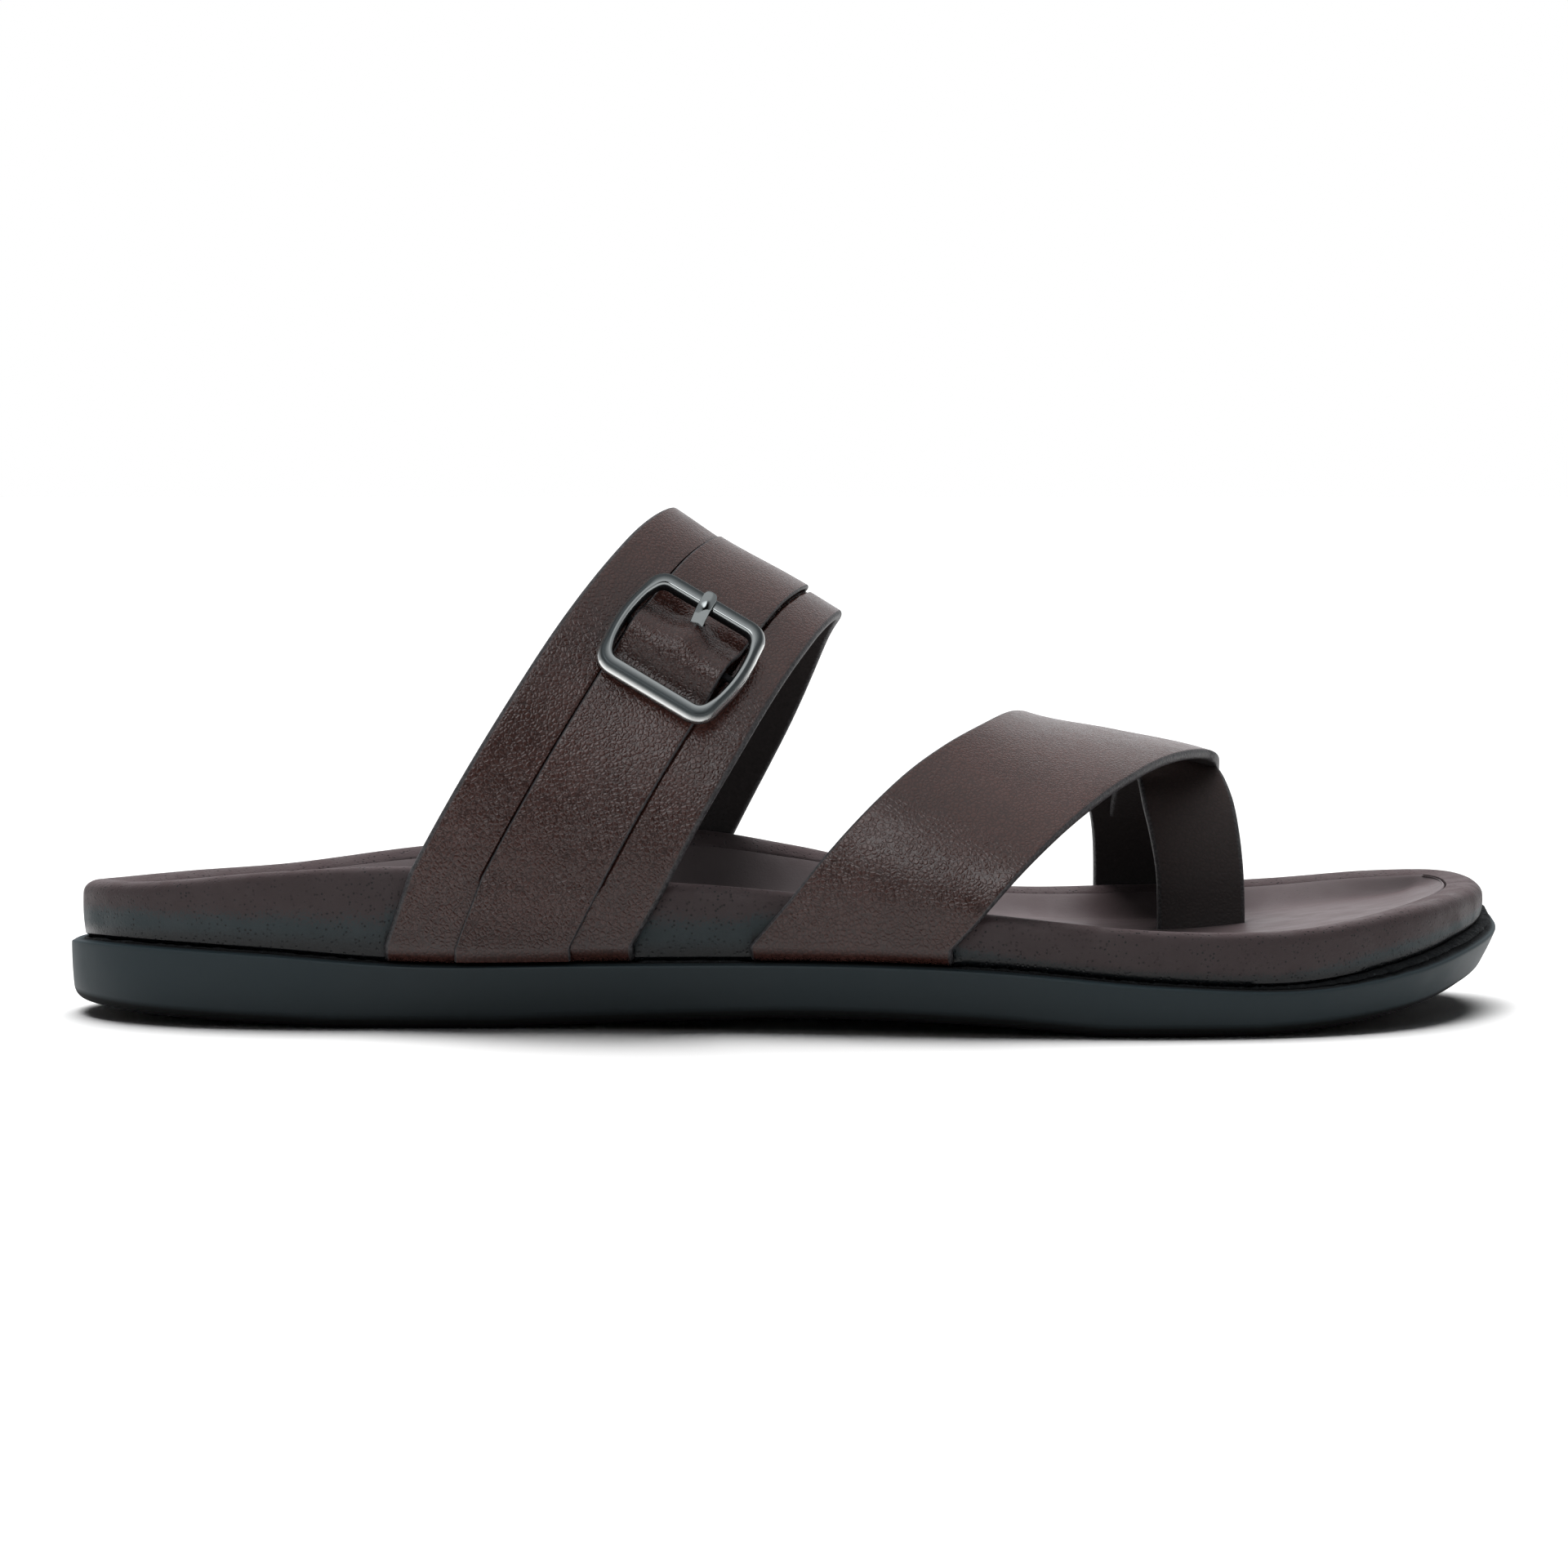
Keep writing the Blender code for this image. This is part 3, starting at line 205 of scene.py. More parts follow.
GLUE_SPREAD = 0.65  # how much wider the bead lies by the toes
GLUE_SPREAD_RANGE = (235.0, 262.0)
SMEAR_START = 60.0  # along the sole from its middle: where cement shows on the ledge,
SMEAR_PLACE = 97.0  # the middle of a smear that ran down the side
SMEAR_HEIGHT = 9.4  # and the lowest point of it
TREAD_PITCH = 8.5
TREAD_SWEEP = 0.35
TREAD_DEPTH = 0.6
OPEN_SEAM = (285.0, 286.0)
SNUG_SLIT = (6.0, 7.1)  # slit in the overlay, as the prong fills it
HEEL_FILL = 0.4  # how much straighter the footbed's side stands behind the heel
ARC = np.radians(np.linspace(0, 90, 7))
ROUND_SHARES = np.linspace(0, 1, 11)

# How far up the footbed's side the dark spray reaches, as a share of its height.
SPRAY_COLUMNS = ("station", "reach")
SPRAY = (
    (0, 0.60), (45, 0.45), (80, 0.42), (120, 0.52), (165, 0.55), (185, 0.25), (205, 0.08),
    (235, 0.10), (258, 0.34), (280, 0.50), (290.4, 0.55),
)


# ---- tables to smooth curves ----
def smooth(x, knots, values):
    """Cubic curve through the knots, with slopes from the neighbouring knots."""
    x = np.asarray(x, float)
    step = np.diff(knots)
    rate = np.diff(values) / step
    slope = np.empty_like(values)
    slope[1:-1] = (step[1:] * rate[:-1] + step[:-1] * rate[1:]) / (step[1:] + step[:-1])
    slope[0] = 1.5 * rate[0] - 0.5 * slope[1]
    slope[-1] = 1.5 * rate[-1] - 0.5 * slope[-2]
    i = np.clip(np.searchsorted(knots, x) - 1, 0, len(knots) - 2)
    t = (x - knots[i]) / step[i]
    return (values[i] * (2 * t**3 - 3 * t**2 + 1) + step[i] * slope[i] * (t**3 - 2 * t**2 + t)
            + values[i + 1] * (3 * t**2 - 2 * t**3) + step[i] * slope[i + 1] * (t**3 - t**2))


def column(table, columns, name):
    return np.array([row[columns.index(name)] for row in table], float)


def look_up(table, columns, name, x):
    """Smooth curve of a named column over the table's first one."""
    return smooth(x, column(table, columns, columns[0]), column(table, columns, name))


def between(start, end, share):
    return start + (end - start) * share


def bend(start, corner, end, steps):
    """Points on a curve from start to end that a corner draws towards it."""
    return [start * (1 - t) ** 2 + corner * 2 * t * (1 - t) + end * t * t
            for t in np.linspace(0, 1, steps + 1)]


def turn(station):
    """Angle that runs 0 to pi along the sole, so that the round ends stay smooth."""
    share = np.clip(np.asarray(station, float) / SOLE_LENGTH, 0, 1)
    return np.arccos(1 - 2 * share)


def at_turn(name, angle):
    """A measure of the sole's sections where turn() gives this angle."""
    knots = turn(column(SECTIONS, SECTION_COLUMNS, "station"))
    return smooth(angle, knots, column(SECTIONS, SECTION_COLUMNS, name))


def section(name, station):
    return at_turn(name, turn(station))


def side_height(part, station, medial):
    """Height of the ground, ledge or rim on one side."""
    return section(part + ("_medial" if medial else "_lateral"), station)


def ramp(x, start, end):
    """0 before start, 1 after end and a soft step between."""
    share = np.clip((np.asarray(x, float) - start) / (end - start), 0, 1)
    return share * share * (3 - 2 * share)


def even_path(points, count):
    """The points' smooth curve at count even steps along its length."""
    points = np.array(points, float)
    length = np.concatenate([[0], np.cumsum(np.linalg.norm(np.diff(points, axis=0), axis=1))])
    even = np.linspace(0, length[-1], count)
    return np.column_stack([smooth(even, length, values) for values in points.T])


def waves(x, y, seed, size):
    """Slow unevenness of about -1 to 1 over a plane, from a few crossed sine waves."""
    draw = np.random.default_rng(seed)
    total = 0.0
    for _ in range(6):
        angle = draw.uniform(0, 2 * math.pi)
        length = size * draw.uniform(0.7, 1.6)
        phase = draw.uniform(0, 2 * math.pi)
        along = x * math.cos(angle) + y * math.sin(angle)
        total = total + np.sin(along * 2 * math.pi / length + phase)
    return total / 3.5


# ---- plan and heights of the sole ----
def edge_point(station, medial, inset):
    """Point on the outsole's edge line, moved in square to it."""
    angle = turn(station)
    small = 1e-4
    before = np.clip(angle - small, 0, math.pi)
    after = np.clip(angle + small, 0, math.pi)
    side = "medial" if medial else "lateral"
    along = SOLE_LENGTH / 2 * (np.cos(before) - np.cos(after))
    across = at_turn(side, after) - at_turn(side, before)
    length = np.hypot(along, across)
    outward = (1 if medial else -1) * np.stack([-across, along], -1) / length[..., None]
    point = np.stack([SOLE_LENGTH / 2 * (1 - np.cos(angle)), at_turn(side, angle)], -1)
    return point - outward * np.asarray(inset, float)[..., None]


DENSE = np.linspace(0.5, SOLE_LENGTH - 0.5, 400)


def wall_offset(station, medial, inset):
    """Offset, at a station, of the line that lies an inset inside the outsole's edge."""
    line = edge_point(DENSE, medial, 0 * DENSE + inset)
    return np.interp(station, line[:, 0], line[:, 1])


WIDTH_SHIFT = -0.5 * (edge_point(DENSE, False, 0 * DENSE)[:, 1].min()
                      + edge_point(DENSE, True, 0 * DENSE)[:, 1].max())


def place(points):
    return (np.asarray(points, float) + np.array([-SOLE_LENGTH / 2, WIDTH_SHIFT, 0.0])) * MM


def ledge_rise(station):
    return LEDGE_RISE + TOE_LEDGE_RISE * ramp(station, *TOE_LEDGE_RANGE)


def ground_height(station, medial):
    return np.maximum(side_height("ground", station, medial), 0.0)


def outsole_top(station, medial, inset):
    return side_height("ledge", station, medial) + ledge_rise(station) * ramp(inset, 0, LEDGE_WIDTH)


def footbed_top(station, medial, inset):
    rim = side_height("rim", station, medial)
    return between(rim, section("bed", station), ramp(inset, RIM_CREST_INSET, BED_INSET))


def wall_lean(station):
    heel = HEEL_LEAN * (1 - ramp(station, 0.0, HEEL_LEAN_END))
    return heel + TOE_LEAN * ramp(station, *TOE_LEAN_RANGE)


# ---- meshes ----
def add_object(name, data):
    obj = bpy.data.objects.new(name, data)
    bpy.context.scene.collection.objects.link(obj)
    return obj


def quads(low, high):
    """Faces between two closed rows of point numbers."""
    return list(zip(low, low[1:] + low[:1], high[1:] + high[:1], high))


class Skin:
    """Rows of points (mm) gathered into one mesh; tags are named values on the points."""

    def __init__(self, *tags):
        self.points = []
        self.faces = []
        self.tags = {tag: [] for tag in tags}

    def row(self, points, **values):
        """Add points, with a value or a row of values for each tag. Gives their numbers."""
        start = len(self.points)
        self.points.extend(np.asarray(points, float).tolist())
        count = len(self.points) - start
        for tag, store in self.tags.items():
            store.extend(np.broadcast_to(values.get(tag, 0.0), count).tolist())
        return list(range(start, start + count))

    def join(self, rows, closed=False):
        """Faces between each closed row and the next."""
        for low, high in zip(rows, rows[1:] + (rows[:1] if closed else [])):
            self.faces += quads(low, high)
        return rows

    def tube(self, rings, closed, **values):
        """Tube through rings of points: joined end to end, or capped at both ends."""
        rows = self.join([self.row(ring, **values) for ring in rings], closed)
        if not closed:
            self.faces += [rows[0][::-1], rows[-1]]

    def build(self, name, sharp=40.0, matrix=None):
        """Mesh object; a matrix places points that aren't in the sole's own directions."""
        mesh = bpy.data.meshes.new(name)
        points = place(self.points) if matrix is None else np.array(self.points) * MM
        mesh.from_pydata(points.tolist(), [], self.faces)
        if matrix is not None:
            mesh.transform(matrix)
        for tag, values in self.tags.items():
            layer = mesh.attributes.new(tag, "FLOAT", "POINT")
            layer.data.foreach_set("value", np.array(values, np.float32))
        mesh.validate()
        mesh.shade_smooth()
        mesh.set_sharp_from_angle(angle=math.radians(sharp))
        return add_object(name, mesh)


def sole_stations(marks=()):
    """Stations that crowd towards both tips, with the marks among them."""
    even = SOLE_LENGTH / 2 * (1 - np.cos(np.linspace(0, math.pi, SOLE_STEPS + 1)))
    kept = [s for s in even if all(abs(s - mark) > 0.5 for mark in marks)]
    return np.array(sorted(kept + list(marks)))


class Ring:
    """A closed row of points around the sole: lateral side heel to toe, then back.

    The height is a function of the stations and the side.
    """

    def __init__(self, stations, inset, height, own_station=False):
        insets = np.broadcast_to(inset, stations.shape)
        sides = []
        for medial in BOTH_SIDES:
            plan = edge_point(stations, medial, insets)
            at = plan[:, 0] if own_station else stations
            sides.append(np.column_stack([plan, height(at, medial)]))
        self.lateral, self.medial = sides
        for end in (0, -1):
            tip = (self.lateral[end] + self.medial[end]) / 2
            self.lateral[end] = tip
            self.medial[end] = tip

    def loop(self):
        return np.vstack([self.lateral, self.medial[-2:0:-1]])


def skin_layers(skin, layers, *caps):
    """Skin layers (ring, tags) from the lowest up, and cap (columns, shape, tags) both ends."""
    rows = skin.join([skin.row(ring.loop(), **tags) for ring, tags in layers])
    for end, (columns, shape, tags) in zip((0, -1), caps):
        cap(skin, layers[end][0], rows[end], columns, end == 0, shape, tags)


def cap(skin, ring, row, columns, flip, shape, tags):
    """Rows of points across the sole, between the two sides of a ring."""
    steps = len(ring.lateral) - 1
    grid = [[row[0]] * (columns + 1)]
    for i in range(1, steps):
        points = between(ring.lateral[i], ring.medial[i], np.arange(1, columns)[:, None] / columns)
        if shape is not None:
            points[:, 2] += shape(points[:, 0], points[:, 1])
        grid.append([row[i]] + skin.row(points, **tags) + [row[len(row) - i]])
    grid.append([row[steps]] * (columns + 1))
    for near, far in zip(grid, grid[1:]):
        for k in range(columns):
            face = list(dict.fromkeys((near[k], near[k + 1], far[k + 1], far[k])))
            skin.faces.append(face[::-1] if flip else face)


# ---- node helper ----
class Nodes:
    """Short calls for the nodes of a material or a world."""

    def __init__(self, owner):
        owner.use_nodes = True
        self.tree = owner.node_tree

    def put(self, socket, value):
        if isinstance(value, bpy.types.NodeSocket):
            self.tree.links.new(value, socket)
        elif socket.type == "RGBA" and isinstance(value, tuple):
            socket.default_value = (*value, 1.0)
        else:
            socket.default_value = value

    def node(self, kind, settings=None, **inputs):
        """Node with inputs by name, or by number after the letter i."""
        node = self.tree.nodes.new(kind)
        for key, value in (settings or {}).items():
            setattr(node, key, value)
        for key, value in inputs.items():
            number = key[0] == "i" and key[1:].isdigit()
            self.put(node.inputs[int(key[1:]) if number else key.replace("_", " ")], value)
        return node

    def ramp(self, value, low, high, to_low=0.0, to_high=1.0):
        """Soft step of a value from low to high."""
        return self.node("ShaderNodeMapRange", {"interpolation_type": "SMOOTHSTEP"}, i0=value,
                         i1=low, i2=high, i3=to_low, i4=to_high).outputs[0]

    def mix(self, share, a, b):
        return self.node("ShaderNodeMix", {"data_type": "RGBA"}, i0=share, i6=a, i7=b).outputs[2]


class Paint(Nodes):
    """A material and short calls for what its nodes draw."""

    def __init__(self, name):
        self.material = bpy.data.materials.new(name)
        super().__init__(self.material)
        self.place = self.node("ShaderNodeTexCoord").outputs["Object"]

    def finish(self, color, rough, **inputs):
        """Give the shader its inputs."""
        shader = self.tree.nodes["Principled BSDF"]
        for key, value in {"Base_Color": color, "Roughness": rough, **inputs}.items():
            self.put(shader.inputs[key.replace("_", " ")], value)
        return self.material

    def tag(self, name):
        return self.node("ShaderNodeAttribute", {"attribute_name": name}).outputs["Fac"]

    def noise(self, size, detail=3.0, roughness=0.55):
        """Noise whose main grains are about size millimetres across."""
        return self.node("ShaderNodeTexNoise", Vector=self.place, Scale=1.0 / (size * MM),
                         Detail=detail, Roughness=roughness).outputs["Fac"]

    def cells(self, size, feature="F1", at=None):
        """Distance in cells of about size millimetres."""
        return self.node("ShaderNodeTexVoronoi", {"feature": feature}, Vector=at or self.place,
                         Scale=1.0 / (size * MM)).outputs["Distance"]

    def math(self, operation, a, b=0.0):
        return self.node("ShaderNodeMath", {"operation": operation}, i0=a, i1=b).outputs[0]

    def times(self, a, b):
        return self.math("MULTIPLY", a, b)

    def plus(self, a, b):
        return self.math("ADD", a, b)

    def minus(self, a, b):
        return self.math("SUBTRACT", a, b)

    def sway(self, spread, *noise):
        """Noise around 0 instead of a half, times a spread."""
        return self.times(self.minus(self.noise(*noise), 0.5), spread)

    def blend(self, share, a, b):
        return self.node("ShaderNodeMix", i0=share, i2=a, i3=b).outputs[0]

    def uneven(self, noise, low, high):
        """A value between low and high that follows a noise."""
        return self.ramp(noise, 0.3, 0.7, low, high)

    def bump(self, height, depth, normal=None):
        """Relief of depth millimetres where the height goes from 0 to 1."""
        under = {} if normal is None else {"Normal": normal}
        return self.node("ShaderNodeBump", Height=height, Strength=1.0, Distance=depth * MM,
                         **under).outputs[0]


# ---- materials ----
def leather_grain(paint):
    """Fine pebbled grain: small rounded cells, broken up by a finer noise."""
    fray = paint.node("ShaderNodeTexNoise", Vector=paint.place, Scale=1400.0).outputs["Color"]
    shift = paint.node("ShaderNodeVectorMath", {"operation": "SCALE"}, i0=fray, Scale=0.0005)
    warp = paint.node("ShaderNodeVectorMath", {"operation": "ADD"}, i0=paint.place,
                      i1=shift.outputs[0]).outputs[0]
    pebble = paint.ramp(paint.cells(0.90, "DISTANCE_TO_EDGE", warp), 0.0, 0.30)
    return paint.plus(pebble, paint.times(paint.noise(0.45, 2.0), 0.7))


def leather_material():
    """Brown grain leather with a raw dark edge and a suede lining; painted shade darkens a strap's
    foot and the grain's creases.
    """
    paint = Paint("brown_grain_leather")
    edge = paint.tag("edge")
    lining = paint.tag("lining")
    low = paint.tag("low")
    cloud = paint.ramp(paint.noise(16.0), 0.35, 0.7)
    face = paint.mix(cloud, (0.049, 0.0182, 0.0140), (0.066, 0.0258, 0.0206))
    # Painted shade: a strap's foot, where it turns in under the footbed, is darkened.
    face = paint.mix(paint.times(low, 0.12), face, (0.018, 0.0085, 0.0075))
    grain = leather_grain(paint)
    # Darker grain creases: partly the grain's own tone, partly painted shade standing in for
    # relief.
    face = paint.mix(paint.ramp(grain, 0.25, 0.85, 0.55, 0.0), face, (0.010, 0.0050, 0.0045))
    suede = paint.mix(paint.noise(0.6, 4.0), (0.009, 0.0070, 0.0068), (0.030, 0.0235, 0.0225))
    fibre = paint.ramp(paint.noise(0.7, 4.0, 0.7), 0.40, 0.62)
    rim = paint.mix(fibre, (0.012, 0.0115, 0.013), (0.050, 0.047, 0.050))
    color = paint.mix(edge, paint.mix(lining, face, suede), rim)
    rough = paint.blend(lining, paint.uneven(paint.noise(5.0), 0.19, 0.26), 0.90)
    rough = paint.blend(edge, rough, 0.50)
    depth = paint.times(paint.ramp(paint.noise(14.0, 2.0), 0.35, 0.65, 0.75, 1.1),
                        paint.ramp(low, 0.0, 1.0, 1.0, 0.6))
    relief = paint.bump(paint.times(grain, depth), 0.05)
    relief = paint.bump(paint.noise(2.6), 0.02, relief)
    return paint.finish(color, rough, Normal=relief, Specular_IOR_Level=0.40)


def foam_material():
    """Footbed foam: brown above, sprayed blue-black low on its side, pitted all over; its pits are
    darkened partly with painted shade, and its rim's crest is lighter, partly from wear and partly
    with a painted sheen.
    """
    paint = Paint("speckled_footbed_foam")
    rise = paint.tag("rise")
    brown = paint.mix(paint.noise(22.0), (0.031, 0.0195, 0.0205), (0.043, 0.0280, 0.0290))
    brown = paint.mix(paint.ramp(rise, 0.93, 1.0), brown, (0.066, 0.0470, 0.0490))
    spray = paint.mix(paint.noise(3.0), (0.014, 0.0235, 0.0270), (0.026, 0.0385, 0.0430))
    speck = paint.sway(0.55, 0.5, 2.0, 0.8)
    level = paint.plus(rise, paint.plus(paint.sway(0.35, 14.0), speck))
    level = paint.minus(level, paint.tag("reach"))
    color = paint.mix(paint.ramp(level, -0.14, 0.12, 1.0, 0.0), brown, spray)
    # Dark pits: partly the foam's own dark pores, partly painted shade in them.
    pits = paint.ramp(paint.cells(0.95), 0.12, 0.30, 1.0, 0.0)
    some = paint.ramp(paint.noise(9.0), 0.40, 0.60, 0.25, 1.0)
    color = paint.mix(paint.times(pits, some), color, (0.0035, 0.0035, 0.004))
    foot = paint.ramp(paint.plus(rise, paint.times(speck, 0.35)), 0.02, 0.30, 1.0, 0.0)
    color = paint.mix(foot, color, (0.0035, 0.0045, 0.0055))
    # Lighter crest of the rim: partly wear, partly a painted sheen along it.
    crest_wear_and_sheen = paint.times(paint.tag("crest"), paint.ramp(paint.noise(4.0, 4.0, 0.7), 0.40, 0.75))
    color = paint.mix(paint.times(crest_wear_and_sheen, 0.22), color, (0.15, 0.135, 0.140))
    crumb = paint.minus(paint.noise(0.6, 3.0, 0.7), paint.times(pits, 0.8))
    relief = paint.bump(paint.noise(7.0, 2.0), 0.18, paint.bump(crumb, 0.12))
    rough = paint.blend(foot, paint.uneven(paint.noise(6.0), 0.50, 0.66), 0.30)
    return paint.finish(color, rough, Normal=relief, Specular_IOR_Level=0.30)


def insole_material():
    paint = Paint("brown_insole_sheet")
    color = paint.mix(paint.noise(30.0), (0.077, 0.0560, 0.0585), (0.099, 0.0740, 0.0770))
    # Dark pits: partly the sheet's own pores, partly painted shade in them.
    pits = paint.ramp(paint.cells(0.95), 0.08, 0.20, 1.0, 0.0)
    some = paint.ramp(paint.noise(9.0), 0.42, 0.62, 0.05, 0.55)
    color = paint.mix(paint.times(pits, some), color, (0.016, 0.012, 0.012))
    # Painted shade: the sheet darkens close round the slot where the toe ring's leg goes in.
    color = paint.mix(paint.tag("slot"), color, (0.008, 0.006, 0.006))
    relief = paint.bump(paint.noise(9.0, 2.0), 0.04, paint.bump(paint.noise(0.5, 3.0, 0.7), 0.04))
    rough = paint.uneven(paint.noise(8.0), 0.42, 0.54)
    return paint.finish(color, rough, Normal=relief, Specular_IOR_Level=0.5)


def rubber_material():
    """Matte black rubber; cement shows on the front ledge and down the side by the toes; painted
    shade darkens the underside, the lower rounding and the ledge by the footbed.
    """
    paint = Paint("moulded_black_rubber")
    x, y, z = paint.node("ShaderNodeSeparateXYZ", Vector=paint.place).outputs
    cloud = paint.noise(25.0, 4.0)
    color = paint.mix(cloud, (0.0090, 0.0185, 0.0230), (0.0130, 0.0250, 0.0305))
    dust = paint.ramp(paint.noise(0.5, 4.0, 0.8), 0.64, 0.82, 0.0, 0.25)
    color = paint.mix(dust, color, (0.060, 0.068, 0.070))
    toward_toe = paint.ramp(x, SMEAR_START * MM, (SMEAR_START + 40) * MM)
    cement = paint.times(paint.tag("glued"), toward_toe)
    from_middle = paint.math("ABSOLUTE", paint.minus(x, SMEAR_PLACE * MM))
    run = paint.minus(paint.plus(z, paint.sway(10 * MM, 9.0)), paint.times(from_middle, 0.32))
    smear = paint.times(paint.ramp(run, SMEAR_HEIGHT * MM, (SMEAR_HEIGHT + 0.5) * MM),
                        paint.ramp(y, -0.034, -0.030, 1.0, 0.0))
    wet = paint.math("MAXIMUM", cement, paint.times(smear, 0.75))
    color = paint.mix(wet, color, (0.0035, 0.0045, 0.0055))
    # Painted shade: near black under the sole and up its lower rounding, and on the ledge in the
    # corner by the footbed.
    black = paint.math("MAXIMUM", paint.tag("under"), paint.times(paint.tag("corner"), 0.9))
    color = paint.mix(black, color, (0.0015, 0.0020, 0.0025))
    rough = paint.blend(wet, paint.uneven(cloud, 0.50, 0.60), 0.80)
    rough = paint.blend(black, rough, 0.90)
    relief = paint.bump(paint.noise(0.4, 3.0, 0.6), 0.012)
    relief = paint.bump(paint.noise(10.0, 2.0), 0.10, relief)
    relief = paint.bump(paint.blend(cement, 0.0, paint.noise(1.2, 4.0, 0.6)), 0.35, relief)
    return paint.finish(color, rough, Normal=relief, Specular_IOR_Level=0.26)


def glue_material():
    paint = Paint("crusted_black_glue")
    relief = paint.bump(paint.noise(1.1, 4.0, 0.6), 0.45)
    dust = paint.ramp(paint.noise(0.6, 3.0, 0.7), 0.60, 0.75)
    color = paint.mix(dust, (0.0022, 0.0030, 0.0036), (0.045, 0.054, 0.058))
    rough = paint.uneven(paint.noise(2.0), 0.60, 0.85)
    return paint.finish(color, rough, Normal=relief, Specular_IOR_Level=0.12)


def metal_material():
    """Polished dark plating with painted highlights on the frame's outer bevels and the prong;
    painted shade darkens corners of the frame's section, its underside and inner wall most, and the
    bar under the strap, which is also left dull.
    """
    paint = Paint("polished_gunmetal")
    hidden = paint.tag("hidden")
    flat = paint.mix(paint.noise(6.0), (0.080, 0.095, 0.098), (0.115, 0.132, 0.136))
    # Painted highlight: near-white colour on the outer bevels and, faintly, on the prong.
    color = paint.mix(paint.tag("bevel"), flat, (0.66, 0.67, 0.66))
    # Painted shade on the metal where the hidden tag is set.
    color = paint.mix(hidden, color, (0.010, 0.010, 0.011))
    relief = paint.bump(paint.noise(3.0, 2.0), 0.01)
    rough = paint.blend(hidden, paint.uneven(paint.noise(1.5, 4.0), 0.07, 0.13), 0.6)
    return paint.finish(color, rough, Metallic=1.0, Normal=relief)


# ---- outsole ----
def tread(x, y):
    """Shallow grooves across the underside, swept back towards its edges."""
    run = (x + TREAD_SWEEP * np.abs(y)) * 2 * math.pi / TREAD_PITCH
    return TREAD_DEPTH * ramp(np.cos(run), 0.1, 0.7)


def edge_round(station):
    return between(OUTSOLE_ROUND, TOE_ROUND, ramp(station, *TOE_TAPER_RANGE))


def build_outsole():
    stations = sole_stations()
    skin = Skin("glued", "under", "corner")

    def side_top(s, medial):
        return outsole_top(s, medial, 0.0) - TOP_EDGE_DROP - ground_height(s, medial)

    low_round = edge_round(stations)
    round_share = low_round / side_top(stations, False)
    taper = SIDE_TAPER + TOE_TAPER * ramp(stations, *TOE_TAPER_RANGE)

    def bottom_ring(share):
        """Along the rounding, from the flat underside up to the leaning side."""
        inset = taper * (1 - round_share * share ** 2) + low_round * (1 - share) ** 2
        rise = low_round * share ** 2
        return Ring(stations, inset, lambda s, medial: ground_height(s, medial) + rise)

    def side_ring(share):
        """Between the rounding and the top edge, on a side that bulges very slightly."""
        def height(s, medial):
            return ground_height(s, medial) + between(low_round, side_top(s, medial), share)
        bulge = SIDE_BULGE * math.sin(math.pi * share)
        return Ring(stations, taper * (1 - between(round_share, 1, share)) - bulge, height)

    def top_ring(inset, drop=0.0):
        return Ring(stations, inset, lambda s, medial: outsole_top(s, medial, inset) - drop)

    def top_edge(angle):
        return top_ring(TOP_EDGE_ROUND * (1 - math.cos(angle)),
                        TOP_EDGE_ROUND * (1 - math.sin(angle)))

    layers = [(Ring(stations, inset, lambda s, medial: ground_height(s, medial), True),
               {"under": 1.0}) for inset in (OUTSOLE_CORE_INSET, CORE_INSET)]
    # The under tag paints shade on the lower part of the rounding.
    layers += [(bottom_ring(share), {"under": ramp(share, 0.9, 0.68)}) for share in ROUND_SHARES]
    layers += [(side_ring(share), {}) for share in (0.2, 0.4, 0.6, 0.8, 0.93)]
    layers += [(top_edge(angle), {}) for angle in ARC]
    # The corner tag paints shade on the ledge close to the footbed; glued marks cement.
    layers += [(top_ring(inset), {"glued": ramp(inset, 0.0, 1.2), "corner": ramp(inset, 1.2, 2.6)})
               for inset in (1.0, 1.8, 2.6, LEDGE_WIDTH, CORE_INSET, OUTSOLE_CORE_INSET)]
    skin_layers(skin, layers, (24, tread, {"under": 1.0}), (12, None, {}))
    return skin.build("sole_rubber")


# ---- footbed and insole ----
def strap_pockets(medial, margin=POCKET_MARGIN):
    """Stretches of one side where a strap comes through."""
    return [(roots[medial][0] - margin, roots[medial][1] + margin)
            for roots in (INSTEP_ROOTS, FOREFOOT_ROOTS)]


def pocket_height(stations, medial):
    headroom = np.zeros_like(stations)
    for rear, front in strap_pockets(medial):
        headroom[(stations > rear) & (stations < front)] = LEATHER + 2 * FIT_GAP
    return headroom


def footbed_stations():
    """Stations of the sole, with a step at each end of a strap's pocket."""
    ends = [end for medial in BOTH_SIDES for pocket in strap_pockets(medial) for end in pocket]
    return sole_stations(sorted(end + step for end in ends for step in (-POCKET_RAMP, POCKET_RAMP)))


def bed_ring(stations, inset, sink=0.0):
    """Ring on the footbed's hollow top, or sunk under it, drawn together at the toe."""
    excess = max(inset - INSOLE_INSET, 0.0)
    drawn_in = excess * TOE_TIGHTENING * ramp(stations, *TOE_TIGHTENING_RANGE)
    return Ring(stations, inset - drawn_in, lambda s, medial: footbed_top(s, medial, inset) - sink)


def near_slot(x, y, reach):
    """1 in plan where the toe ring's leg goes into the insole, and fading away around it."""
    offset, _, rear, front = RING_LEG[1]
    along = np.maximum(np.maximum(rear - x, x - front), 0)
    across = np.maximum(np.maximum(offset - LEATHER - y, y - offset), 0)
    return np.exp(-(np.hypot(along, across) / reach) ** 2)


def bed_shape(x, y):
    """Small dip of the sheet around the toe ring's leg."""
    return -DIP_DEPTH * near_slot(x, y, DIP_REACH)


